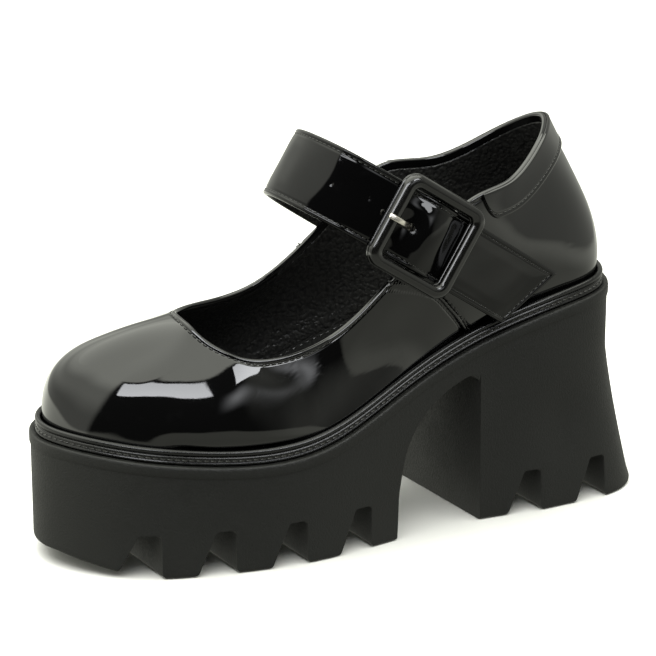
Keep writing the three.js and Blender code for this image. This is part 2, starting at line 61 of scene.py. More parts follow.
Tree, Node, Socket = bpy.types.NodeTree, bpy.types.Node, bpy.types.NodeSocket
MM = 0.001
UP = np.array([0.0, 0.0, 1.0])
FULL_TURN = 2.0 * math.pi

# Round the upper, from the toe tip by the outer side to the heel and back.
UPPER_ROWS = np.array([
    # foot x, foot y, topline x, topline y, topline rise, rise, flare, reach, pitch
    [-0.367, -0.009, -0.156, 0.208, 0.745, 0.413, 0.007, 0.448, 14],
    [-0.183, 0.005, -0.045, 0.205, 0.730, 0.400, -0.055, 0.370, 41],
    [-0.033, 0.046, 0.020, 0.218, 0.672, 0.360, -0.045, 0.280, 50],
    [0.089, 0.099, 0.084, 0.240, 0.620, 0.265, -0.035, 0.265, 51],
    [0.167, 0.166, 0.130, 0.272, 0.575, 0.045, 0.060, 0.270, 50],
    [0.233, 0.254, 0.160, 0.320, 0.548, 0.040, 0.085, 0.205, 63],
    [0.278, 0.358, 0.185, 0.394, 0.549, 0.060, 0.015, 0.148, 75],
    [0.267, 0.472, 0.223, 0.471, 0.607, 0.155, -0.045, 0.180, 86],
    [0.239, 0.589, 0.271, 0.572, 0.773, 0.240, -0.010, 0.250, 88],
    [0.239, 0.706, 0.311, 0.673, 0.912, 0.252, 0.088, 0.280, 86],
    [0.272, 0.820, 0.283, 0.761, 0.887, 0.280, 0.088, 0.280, 84],
    [0.256, 0.925, 0.167, 0.843, 0.950, 0.308, 0.056, 0.280, 74],
    [0.139, 0.981, 0.044, 0.891, 0.989, 0.336, 0.056, 0.280, 68],
    [-0.056, 1.000, -0.078, 0.916, 1.002, 0.350, 0.056, 0.280, 66],
    [-0.244, 0.983, -0.200, 0.904, 0.958, 0.336, 0.056, 0.280, 68],
    [-0.367, 0.925, -0.322, 0.864, 0.866, 0.308, 0.056, 0.280, 74],
    [-0.406, 0.820, -0.406, 0.769, 0.812, 0.280, 0.056, 0.280, 84],
    [-0.444, 0.702, -0.428, 0.660, 0.921, 0.252, 0.042, 0.280, 88],
    [-0.522, 0.581, -0.456, 0.564, 0.789, 0.224, 0.028, 0.252, 84],
    [-0.622, 0.463, -0.478, 0.463, 0.669, 0.224, 0.028, 0.196, 62],
    [-0.689, 0.346, -0.456, 0.379, 0.668, 0.238, 0.042, 0.182, 52],
    [-0.711, 0.233, -0.400, 0.304, 0.700, 0.252, 0.042, 0.224, 38],
    [-0.683, 0.124, -0.328, 0.252, 0.720, 0.294, 0.028, 0.294, 27],
    [-0.572, 0.038, -0.244, 0.220, 0.736, 0.364, 0.014, 0.392, 19],
])
# Places once round the upper, one for each row.
PLACES = float(len(UPPER_ROWS))

# Height of the footbed: share of the last's length, share from platform to heel.
FOOTBED_ROWS = np.array([
    [-0.019, 0.158], [0.107, 0.079], [0.254, 0.0], [0.4, 0.077],
    [0.547, 0.388], [0.715, 0.723], [0.862, 0.915], [1.017, 1.0],
])

# Opening between platform and heel: run from the platform, height, as shares.
ARCH_ROWS = np.array([
    [0.0, -0.016], [0.01, 0.103], [0.019, 0.272], [0.048, 0.404], [0.082, 0.513],
    [0.142, 0.63], [0.233, 0.726], [0.37, 0.827], [0.567, 0.921], [0.755, 0.978],
    [0.913, 1.0], [0.971, 0.967], [0.986, 0.902], [1.0, -0.016],
])

# Outer face of the strap: run down the slope in collar heights, then across at the
# lower and the upper edge in ball widths.
STRAP_ROWS = np.array([
    [0.9015, -0.4704, -0.4379], [0.7581, -0.4688, -0.4395], [0.6024, -0.4541, -0.4379],
    [0.4344, -0.4232, -0.4200], [0.2799, -0.3614, -0.3581], [0.1328, -0.2556, -0.2539],
    [0.0418, -0.1390, -0.1384], [0.0000, 0.0000, 0.0000], [0.0279, 0.1335, 0.1335],
    [0.1049, 0.2334, 0.2328], [0.2307, 0.3060, 0.3050], [0.4057, 0.3500, 0.3500],
    [0.5872, 0.3711, 0.3711], [0.7692, 0.3890, 0.3874], [0.9372, 0.3952, 0.3907],
    [1.1331, 0.3933, 0.3861], [1.3285, 0.3858, 0.3789], [1.4404, 0.3793, 0.3731],
    [1.5658, 0.3711, 0.3640],
])
# Row places of the tail's end and of the strap's top, over the instep.
STRAP_END = len(STRAP_ROWS) - 1.0
STRAP_TOP = 7.0


class Slot(Enum):
    """Names of the record's material slots."""

    MOULDED_SOLE = "moulded_sole"
    WELT_STRIP = "welt_strip"
    PATENT_UPPER = "patent_upper"
    PATENT_STRAP = "patent_strap"
    LINING_LEATHER = "lining_leather"
    GLOSS_BUCKLE = "gloss_buckle"
    BRIGHT_STEEL = "bright_steel"


# Curves


def unit(vectors: Points) -> Points:
    """Vectors of length one along the last axis."""
    return vectors / np.maximum(np.linalg.norm(vectors, axis=-1, keepdims=True), 1e-12)


def smoothstep(value: Points, low: float, high: float) -> Points:
    """Soft step from 0 at low to 1 at high."""
    share = np.clip((value - low) / (high - low), 0.0, 1.0)
    return share * share * (3.0 - 2.0 * share)


def hump(distance: Points, width: float) -> Points:
    """Bell of height one that has faded at about twice its width."""
    return np.exp(-((distance / width) ** 2))


def closed_controls(rows: Points) -> Points:
    """Control rows of the closed cubic spline that passes through the given rows.

    Args:
        rows: One row of values for each whole place.

    Returns:
        An array of the same shape.
    """
    count = len(rows)
    system = np.zeros((count, count))
    for i in range(count):
        system[i, (i - 1) % count] = 1.0
        system[i, i] = 4.0
        system[i, (i + 1) % count] = 1.0
    return np.linalg.solve(system / 6.0, rows)


def closed_spline(controls: Points, place: Points) -> Points:
    """Values of a closed cubic spline.

    Args:
        controls: Rows from closed_controls.
        place: Places along the curve, in rows.

    Returns:
        The values, with one more axis than place.
    """
    row = np.floor(place).astype(int)
    t = (place - row)[..., None]
    s = 1.0 - t
    a, b, c, d = (controls[(row + step) % len(controls)] for step in (-1, 0, 1, 2))
    near = 3.0 * t**3 - 6.0 * t**2 + 4.0
    far = 3.0 * s**3 - 6.0 * s**2 + 4.0
    return (a * s**3 + b * near + c * far + d * t**3) / 6.0


class OpenSpline:
    """Natural cubic curve through rows of place and value, level beyond its ends."""

    def __init__(self, places: Points, values: Points) -> None:
        """Work out the second derivatives.

        Args:
            places: Rising places of the rows.
            values: Values at those places.
        """
        self.places = np.asarray(places, float)
        self.values = np.asarray(values, float)
        count = len(self.places)
        steps = np.diff(self.places)
        slopes = np.diff(self.values) / steps
        system = np.eye(count)
        pull = np.zeros(count)
        for i in range(1, count - 1):
            system[i, i - 1 : i + 2] = steps[i - 1], 2.0 * (steps[i - 1] + steps[i]), steps[i]
            pull[i] = 6.0 * (slopes[i] - slopes[i - 1])
        self.bend = np.linalg.solve(system, pull)

    def __call__(self, place: Points) -> Points:
        """Value of the curve at each place.

        Args:
            place: Places along the curve.

        Returns:
            The values, in the shape of place.
        """
        place = np.asarray(place, float)
        last = len(self.places) - 2
        i = np.clip(np.searchsorted(self.places, place) - 1, 0, last)
        step = self.places[i + 1] - self.places[i]
        t = np.clip((place - self.places[i]) / step, 0.0, 1.0)
        s = 1.0 - t
        curve = (s**3 - s) * self.bend[i] + (t**3 - t) * self.bend[i + 1]
        return s * self.values[i] + t * self.values[i + 1] + step * step * curve / 6.0


def resample(line: Points, pitch: float) -> tuple[Points, Points]:
    """Evenly spaced spots along a line of points.

    Args:
        line: Points of the line, in order.
        pitch: Wanted distance between spots; it is eased so that they fit.

    Returns:
        Row numbers in the line, as fractions, and the distance walked at each.
    """
    walked = np.concatenate([[0.0], np.cumsum(np.linalg.norm(np.diff(line, axis=0), axis=1))])
    count = max(2, round(walked[-1] / pitch))
    spots = (np.arange(count) + 0.5) * walked[-1] / count
    return np.interp(spots, walked, np.arange(len(line))), spots


def rows_at(values: Points, rows: Points) -> Points:
    """Rows of an array at fractional row numbers.

    Args:
        values: The rows.
        rows: Row numbers, as fractions.

    Returns:
        One row for each number.
    """
    low = np.clip(np.floor(rows).astype(int), 0, len(values) - 2)
    share = (rows - low)[:, None]
    return values[low] * (1.0 - share) + values[low + 1] * share


def even_places(count: int) -> Points:
    """Evenly spaced places once round the upper."""
    return np.arange(count) * PLACES / count


# Meshes


def grid_quads(
    rows: int, columns: int, wrap_rows: bool = False, wrap_columns: bool = False
) -> Points:
    """Corner numbers of every cell in a grid of points.

    Args:
        rows: Number of rows of points.
        columns: Number of points in a row.
        wrap_rows: The last row joins the first.
        wrap_columns: The last point of a row joins its first.

    Returns:
        An array of four corners for each cell.
    """
    r = np.arange(rows if wrap_rows else rows - 1)
    c = np.arange(columns if wrap_columns else columns - 1)
    r, c = (a.ravel() for a in np.meshgrid(r, c, indexing="ij"))
    below, beside = (r + 1) % rows, (c + 1) % columns
    corners = [
        r * columns + c, r * columns + beside, below * columns + beside, below * columns + c,
    ]
    return np.stack(corners, axis=1)


def strip_cap(loop: Points) -> list[tuple[int, int, int]]:
    """Triangles across a closed loop that runs out along Y on one side and back.

    Args:
        loop: Points of the loop, in order.

    Returns:
        Corner numbers of the triangles, flat across the loop.
    """
    count = len(loop)
    ys = loop[:, 1]
    start, end = int(np.argmin(ys)), int(np.argmax(ys))
    i = j = start
    triangles = []
    while i != end or j != end:
        after, before = (i + 1) % count, (j - 1) % count
        if j == end or (i != end and ys[after] < ys[before]):
            triangles.append((i, after, j))
            i = after
        else:
            triangles.append((i, before, j))
            j = before
    return [t for t in triangles if len(set(t)) == 3]


@dataclass(frozen=True)
class Seat:
    """Where the part's millimetres lie in the row frame."""

    shift: tuple[float, float, float]

    def to_row(self, points: Points) -> Points:
        """Part millimetres as row metres."""
        return (points + np.array(self.shift)) * MM


class MeshParts:
    """Points and faces gathered from several surfaces, with the finish of each face."""

    def __init__(self, seat: Seat) -> None:
        """Start empty.

        Args:
            seat: Where the piece's millimetres lie in the row frame.
        """
        self.seat = seat
        self.points: list[Points] = []
        self.faces: list[Sequence[int]] = []
        self.finish: list[int] = []
        self.count = 0

    def add(
        self, points: Points, faces: Points | Sequence[Sequence[int]], finish: int | Points = 0
    ) -> None:
        """Add one surface.

        Args:
            points: Its points, in part millimetres.
            faces: Corner numbers within these points.
            finish: Number of its finish, one for all or one for each face.
        """
        base = self.count
        rows = faces.tolist() if isinstance(faces, np.ndarray) else faces
        self.points.append(points.reshape(-1, 3))
        self.faces.extend([[base + k for k in face] for face in rows])
        marks = np.broadcast_to(np.asarray(finish), (len(rows),))
        self.finish.extend(int(m) for m in marks)
        self.count += len(self.points[-1])

    def cap_tubes(self, corners: int, rings: int, tubes: int = 1) -> None:
        """Close both ends of the tubes that were added last.

        Args:
            corners: Points round a tube.
            rings: Rings of points along a tube.
            tubes: How many like tubes end the list of points.
        """
        for k in range(tubes):
            first = self.count - (tubes - k) * corners * rings
            last = first + (rings - 1) * corners
            self.faces += [list(range(start, start + corners)) for start in (first, last)]
            self.finish += [0, 0]

    def mesh(self, name: str) -> Mesh:
        """Mesh of everything gathered, with its faces turned outward.

        Args:
            name: Name of the mesh.

        Returns:
            The new mesh, in the row frame.
        """
        mesh = bpy.data.meshes.new(name)
        mesh.from_pydata(self.seat.to_row(np.concatenate(self.points)).tolist(), [], self.faces)
        mesh.polygons.foreach_set("material_index", self.finish)
        work = bmesh.new()
        work.from_mesh(mesh)
        bmesh.ops.recalc_face_normals(work, faces=work.faces)
        work.to_mesh(mesh)
        work.free()
        return mesh

    def place(
        self,
        name: str,
        finish: bpy.types.Material,
        slot: Slot,
        stands_for: str | None = None,
        crease: float = 45.0,
    ) -> Object:
        """Put everything gathered on the shoe as a piece with one material.

        Args:
            name: Name of the piece.
            finish: Its material.
            slot: The record's slot for its finish; not used.
            stands_for: CAD node that it replaces.
            crease: Edges that turn by more than this many degrees stay sharp.

        Returns:
            The new object.
        """
        return place_piece(name, self.mesh(name), [finish], stands_for, crease)


def add_object(name: str, data: bpy.types.ID) -> Object:
    """Add an object to the scene.

    Args:
        name: Its name.
        data: Its mesh, light or camera.

    Returns:
        The new object.
    """
    thing = bpy.data.objects.new(name, data)
    bpy.context.scene.collection.objects.link(thing)
    return thing


def carved(block: Mesh, cutter: Mesh, ease_mm: float = 0.0, ease_from: float = 42.0) -> Mesh:
    """Mesh that is left when a cutter is taken out of a block.

    Args:
        block: Closed mesh that is cut.
        cutter: Closed mesh that is taken out.
        ease_mm: Width of a bevel on the sharp edges; 0 leaves them sharp.
        ease_from: Edges that turn by more than this many degrees are eased.

    Returns:
        A new mesh.
    """
    body, tool = add_object(block.name, block), add_object(cutter.name, cutter)
    cut = body.modifiers.new("cut", "BOOLEAN")
    cut.operation, cut.solver, cut.object = "DIFFERENCE", "EXACT", tool
    if ease_mm:
        ease = body.modifiers.new("eased_edges", "BEVEL")
        ease.width, ease.segments, ease.use_clamp_overlap = ease_mm * MM, 2, True
        ease.limit_method, ease.angle_limit = "ANGLE", math.radians(ease_from)
    bpy.context.view_layer.update()
    shaped = body.evaluated_get(bpy.context.evaluated_depsgraph_get())
    mesh = bpy.data.meshes.new_from_object(shaped)
    for scratch in (body, tool):
        bpy.data.objects.remove(scratch)
    return mesh


def place_piece(
    name: str,
    mesh: Mesh,
    finishes: Sequence[bpy.types.Material],
    stands_for: str | None = None,
    crease: float = 45.0,
) -> Object:
    """Put a mesh on the shoe as a named piece.

    Args:
        name: Name of the piece.
        mesh: Its mesh, in the row frame.
        finishes: Its materials, in the order of the faces' numbers.
        stands_for: CAD node that it replaces.
        crease: Edges that turn by more than this many degrees stay sharp.

    Returns:
        The new object.
    """
    for finish in finishes:
        mesh.materials.append(finish)
    mesh.shade_smooth()
    mesh.set_sharp_from_angle(angle=math.radians(crease))
    piece = add_object(name, mesh)
    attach(piece, "root")
    if stands_for:
        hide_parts(stands_for)
    LOG.info("%s: %d faces", name, len(mesh.polygons))
    return piece


# Materials


def linear(hex_colour: str) -> tuple[float, float, float, float]:
    """Linear colour of an sRGB hex value.

    Args:
        hex_colour: A value such as "#0b0b0c".

    Returns:
        Red, green, blue and 1.
    """
    channels = (int(hex_colour[i : i + 2], 16) / 255.0 for i in (1, 3, 5))
    curved = [c / 12.92 if c <= 0.04045 else ((c + 0.055) / 1.055) ** 2.4 for c in channels]
    return (*curved, 1.0)


def add_node(
    tree: Tree, kind: str, inputs: dict[str | int, object] | None = None, **settings: object
) -> Node:
    """Add a node, set its options, then fill or link its inputs.

    Args:
        tree: Node tree that gets it.
        kind: Blender's name for the kind of node.
        inputs: Values, output sockets, or nodes whose first output is meant, by the
            input's name or number.
        **settings: Options of the node itself.

    Returns:
        The new node.
    """
    node = tree.nodes.new(kind)
    for name, value in settings.items():
        setattr(node, name, value)
    for key, value in (inputs or {}).items():
        feed = value.outputs[0] if isinstance(value, Node) else value
        if isinstance(feed, Socket):
            tree.links.new(feed, node.inputs[key])
        else:
            node.inputs[key].default_value = feed
    return node


def empty_tree(owner: bpy.types.ID) -> Tree:
    """Emptied node tree of a new material or world."""
    owner.use_nodes = True
    owner.node_tree.nodes.clear()
    return owner.node_tree


def add_fading_glow(tree: Tree, colour: str, strength: Node) -> None:
    """End a material's tree in a glow that is clear where it has no strength.

    Args:
        tree: Node tree of the material.
        colour: The light's colour, as an sRGB hex value.
        strength: Node that gives the light's strength.
    """
    light = add_node(tree, "ShaderNodeEmission", {"Color": linear(colour), "Strength": strength})
    clear = add_node(tree, "ShaderNodeBsdfTransparent")
    both = add_node(tree, "ShaderNodeAddShader", {0: light, 1: clear})
    add_node(tree, "ShaderNodeOutputMaterial", {"Surface": both})


@dataclass(frozen=True)
class Finish:
    """One real surface as a Principled material; the pattern is set by its subclasses."""

    name: str
    colour: str
    # Colour where the mask is full: rubs, wax and dust on most finishes, painted shade in the
    # leathers' pebble valleys, and a painted highlight on the sole's raised grain.
    colour_wear_and_painted_light: str
    roughness: float
    roughness_worn: float
    ior: float = 1.5
    metallic: float = 0.0
    coat: float = 0.0
    coat_roughness: float = 0.03

    def material(self) -> bpy.types.Material:
        """Node material with this finish's colour, gloss and relief."""
        material = bpy.data.materials.new(self.name)
        tree = empty_tree(material)
        where = add_node(tree, "ShaderNodeTexCoord").outputs["Object"]
        # The mask sets where the second colour shows: rubs and wax on most finishes, painted light
        # and shade on the grained leathers and the sole.
        wear_and_painted_light, relief = self.pattern(tree, where)
        colour = add_node(tree, "ShaderNodeMix", {
            0: wear_and_painted_light, 6: linear(self.colour), 7: linear(self.colour_wear_and_painted_light),
        }, data_type="RGBA")
        gloss = add_node(tree, "ShaderNodeMapRange", {
            "Value": wear_and_painted_light, "To Min": self.roughness, "To Max": self.roughness_worn,
        })
        shader = add_node(tree, "ShaderNodeBsdfPrincipled", {
            "Base Color": colour.outputs[2],
            "Roughness": gloss,
            "Metallic": self.metallic,
            "IOR": self.ior,
            "Coat Weight": self.coat,
            "Coat Roughness": self.coat_roughness,
            "Normal": relief,
        })
        add_node(tree, "ShaderNodeOutputMaterial", {"Surface": shader})
        return material

    def pattern(self, tree: Tree, where: Socket) -> tuple[Node, Node]:
        """Mask of rubs, wax and dust, with painted light on some finishes, and bumped normal of
        this finish.

        Args:
            tree: Node tree of the material.
            where: Position on the shoe, in metres.

        Returns:
            The mask's node and the normal's node.
        """
        raise NotImplementedError


def per_metre(size_mm: float) -> float:
    """Texture scale whose pattern repeats about every size_mm."""
    return 1000.0 / size_mm


@dataclass(frozen=True)
class PatentLeather(Finish):
    """Split leather under a poured and cured polyurethane film.

    The film levels out to a wet mirror gloss, with a faint long ripple where the leather
    below it shrank, and a few hairline rubs that only dull the reflection.
    """

    ripple_mm: float = 13.0
    ripple_depth_mm: float = 0.14
    pore_mm: float = 1.1
    pore_depth_mm: float = 0.0048
    rub_mm: float = 7.0

    def pattern(self, tree: Tree, where: Socket) -> tuple[Node, Node]:
        """Rub mask, and the film's ripple with the leather's pores under it."""
        rubs = add_node(tree, "ShaderNodeTexNoise", {
            "Vector": where, "Scale": per_metre(self.rub_mm), "Detail": 5.0, "Roughness": 0.62,
        })
        mask = add_node(tree, "ShaderNodeMapRange", {
            "Value": rubs, "From Min": 0.56, "From Max": 0.78,
        })
        ripple = add_node(tree, "ShaderNodeTexNoise", {
            "Vector": where, "Scale": per_metre(self.ripple_mm), "Detail": 1.0,
        })
        long_wave = add_node(tree, "ShaderNodeBump", {
            "Height": ripple, "Strength": 1.0, "Distance": self.ripple_depth_mm * MM,
        })
        pores = add_node(tree, "ShaderNodeTexNoise", {
            "Vector": where, "Scale": per_metre(self.pore_mm), "Detail": 2.0,
        })
        skin = add_node(tree, "ShaderNodeBump", {
            "Height": pores, "Strength": 1.0, "Distance": self.pore_depth_mm * MM,
            "Normal": long_wave,
        })
        return mask, skin


@dataclass(frozen=True)
class GrainedLeather(Finish):
    """Lining leather with an embossed pebble grain and a thin finish.

    The pebbles catch small soft glints and are coloured lighter as a painted glint; the valleys
    between them stay duller and are coloured darker as painted shade.
    """

    pebble_mm: float = 1.25
    pebble_depth_mm: float = 0.16
    crease_mm: float = 5.0
    drift_mm: float = 1.6

    def pattern(self, tree: Tree, where: Socket) -> tuple[Node, Node]:
        """Valley mask, which paints shade into the valleys, and rounded pebbles of the embossing
        plate.
        """
        drift = add_node(tree, "ShaderNodeTexNoise", {
            "Vector": where, "Scale": per_metre(self.crease_mm), "Detail": 2.0,
        })
        moved = add_node(tree, "ShaderNodeVectorMath", {
            0: drift.outputs["Color"], 1: (self.drift_mm * MM,) * 3,
        }, operation="MULTIPLY")
        bent = add_node(tree, "ShaderNodeVectorMath", {0: where, 1: moved}, operation="ADD")
        pebbles = add_node(tree, "ShaderNodeTexVoronoi", {
            "Vector": bent, "Scale": per_metre(self.pebble_mm),
        }, feature="SMOOTH_F1")
        # Darker colour in the valleys between the pebbles, lighter on the pebbles: painted shade
        # and painted glint.
        painted_valley_shade = add_node(tree, "ShaderNodeMapRange", {
            "Value": pebbles.outputs["Distance"], "From Min": 0.25, "From Max": 0.75,
        })
        height = add_node(tree, "ShaderNodeMath", {0: 1.0, 1: painted_valley_shade}, operation="SUBTRACT")
        bump = add_node(tree, "ShaderNodeBump", {
            "Height": height, "Strength": 1.0, "Distance": self.pebble_depth_mm * MM,
        })
        return painted_valley_shade, bump


@dataclass(frozen=True)
class MouldedPolyurethane(Finish):
    """Polyurethane foam moulded in a spark-eroded tool.

    The skin is matt with a fine even grain, a few grey rubs and pale dust in the grain; the grain's
    raised points are also coloured paler as a painted highlight.
    The grain of the tool is about 0.2 mm; it is drawn four times as coarse to show.
    """

    grain_mm: float = 0.85
    grain_depth_mm: float = 0.17
    cloud_mm: float = 34.0
    speck_mm: float = 9.0

    def pattern(self, tree: Tree, where: Socket) -> tuple[Node, Node]:
        """Mask of rubs, dust and a painted highlight on the grain's raised points, and the tool's
        grain.
        """
        clouds = add_node(tree, "ShaderNodeTexNoise", {
            "Vector": where, "Scale": per_metre(self.cloud_mm), "Detail": 6.0, "Roughness": 0.65,
        })
        mask = add_node(tree, "ShaderNodeMapRange", {
            "Value": clouds, "From Min": 0.42, "From Max": 0.72,
        })
        grain = add_node(tree, "ShaderNodeTexNoise", {
            "Vector": where, "Scale": per_metre(self.grain_mm), "Detail": 2.0, "Roughness": 0.6,
        })
        bump = add_node(tree, "ShaderNodeBump", {
            "Height": grain, "Strength": 1.0, "Distance": self.grain_depth_mm * MM,
        })
        # The grain's raised points are coloured paler: a painted highlight.
        tops = add_node(tree, "ShaderNodeMapRange", {
            "Value": grain, "From Min": 0.45, "From Max": 0.62,
        })
        rubs_and_painted_highlight = add_node(tree, "ShaderNodeMath", {0: mask, 1: tops}, operation="ADD")
        half = add_node(tree, "ShaderNodeMath", {0: rubs_and_painted_highlight, 1: 0.5}, operation="MULTIPLY")
        specks = add_node(tree, "ShaderNodeTexVoronoi", {
            "Vector": where, "Scale": per_metre(self.speck_mm),
        })
        dust = add_node(tree, "ShaderNodeMapRange", {
            "Value": specks.outputs["Distance"],
            "From Min": 0.0, "From Max": 0.035, "To Min": 1.0, "To Max": 0.0,
        })
        return add_node(tree, "ShaderNodeMath", {0: half, 1: dust}, operation="MAXIMUM"), bump


@dataclass(frozen=True)
class SmoothShell(Finish):
    """A hard skin, moulded, extruded or plated.

    A soft orange peel bends its highlights a little, and small rubs dull them in spots.
    """

    peel_mm: float = 2.4
    peel_depth_mm: float = 0.016
    rub_mm: float = 3.0

    def pattern(self, tree: Tree, where: Socket) -> tuple[Node, Node]:
        """Rub mask, and the skin's orange peel."""
        rubs = add_node(tree, "ShaderNodeTexNoise", {
            "Vector": where, "Scale": per_metre(self.rub_mm), "Detail": 4.0, "Roughness": 0.6,
        })
        mask = add_node(tree, "ShaderNodeMapRange", {
            "Value": rubs, "From Min": 0.5, "From Max": 0.75,
        })
        peel = add_node(tree, "ShaderNodeTexNoise", {
            "Vector": where, "Scale": per_metre(self.peel_mm), "Detail": 1.0,
        })
        bump = add_node(tree, "ShaderNodeBump", {
            "Height": peel, "Strength": 1.0, "Distance": self.peel_depth_mm * MM,
        })
        return mask, bump


@dataclass(frozen=True)
class TwistedThread(Finish):
    """Bonded polyester thread: a tight twist with a waxy sheen, coloured a shade above black as a
    painted glint.
    """

    twist_mm: float = 3.0
    twist_depth_mm: float = 0.08
    wax_mm: float = 4.0

    def pattern(self, tree: Tree, where: Socket) -> tuple[Node, Node]:
        """Wax mask, and the plies of the twist, drawn coarser than they are to show."""
        wax = add_node(tree, "ShaderNodeTexNoise", {
            "Vector": where, "Scale": per_metre(self.wax_mm),
        })
        plies = add_node(tree, "ShaderNodeTexWave", {
            "Vector": where, "Scale": per_metre(self.twist_mm), "Distortion": 1.5,
        }, bands_direction="DIAGONAL")
        bump = add_node(tree, "ShaderNodeBump", {
            "Height": plies.outputs["Fac"], "Strength": 0.6, "Distance": self.twist_depth_mm * MM,
        })
        return wax, bump


class Wardrobe:
    """Every finish of the shoe, made once and shared by the pieces."""

    def __init__(self) -> None:
        """Make the materials."""
        # Nearly black and mirror smooth: the eye sees the room's lights, not the leather.
        self.patent = PatentLeather(
            "patent_leather_poured_film", "#060607", "#0b0b0c", 0.045, 0.10,
            coat=0.6, coat_roughness=0.02,
        ).material()
        # A thinner film than the upper's, so its reflections are a shade weaker.
        self.strap_patent = PatentLeather(
            "patent_strap_leather_poured_film", "#070708", "#0c0c0d", 0.045, 0.09,
            ior=1.43, ripple_mm=9.0, ripple_depth_mm=0.06,
        ).material()
        # Dull and dark, with a coarse grain that breaks the light up inside the collar.
        # Its pebbles are coloured lighter as a painted sheen and its valleys darker as painted
        # shade.
        self.lining = GrainedLeather(
            "lining_leather_embossed_pebble", "#323231", "#121212", 0.3, 0.5,
            pebble_mm=1.4, pebble_depth_mm=0.3,
        ).material()
        # Duller and darker than the lining, with a finer grain.
        # Pebbles lighter and valleys darker here too: painted glint and painted shade.
        self.insole = GrainedLeather(
            "insole_leather_embossed_pebble", "#171716", "#0b0b0b", 0.4, 0.6, pebble_mm=1.0,
        ).material()
        # Matt all over: the only soft grey shades on the shoe.
        # Its grain's raised points are coloured paler as a painted highlight.
        self.sole = MouldedPolyurethane(
            "polyurethane_moulded_matt_grain", "#0d0e0c", "#1d1e1b", 0.52, 0.7,
        ).material()
        # Satin, with a narrow highlight along its bead.
        self.welt = SmoothShell(
            "pvc_welt_extruded_satin", "#080909", "#111211", 0.24, 0.4,
            ior=1.53, peel_mm=1.2, peel_depth_mm=0.024,
        ).material()
        # Glossy plastic with broad, slightly blurred highlights on its round bars.
        self.buckle = SmoothShell(
            "abs_buckle_moulded_gloss", "#0e0e0d", "#141413", 0.18, 0.26,
            ior=1.52, coat=0.5, coat_roughness=0.06, peel_mm=4.0, peel_depth_mm=0.008,
        ).material()
        # The one bright spot: pale metal with a soft shine.
        self.steel = SmoothShell(
            "steel_prong_nickel_plated", "#f1ece2", "#dcd6ca", 0.26, 0.36,
            metallic=1.0, peel_mm=1.5, peel_depth_mm=0.012,
        ).material()
        # Thin dotted lines, a little lighter than the leather below: black thread coloured lighter
        # as a painted glint.
        self.thread = TwistedThread(
            "polyester_thread_bonded_twist", "#20201f", "#32322f", 0.28, 0.4, ior=1.58,
        ).material()


# Form of the foot


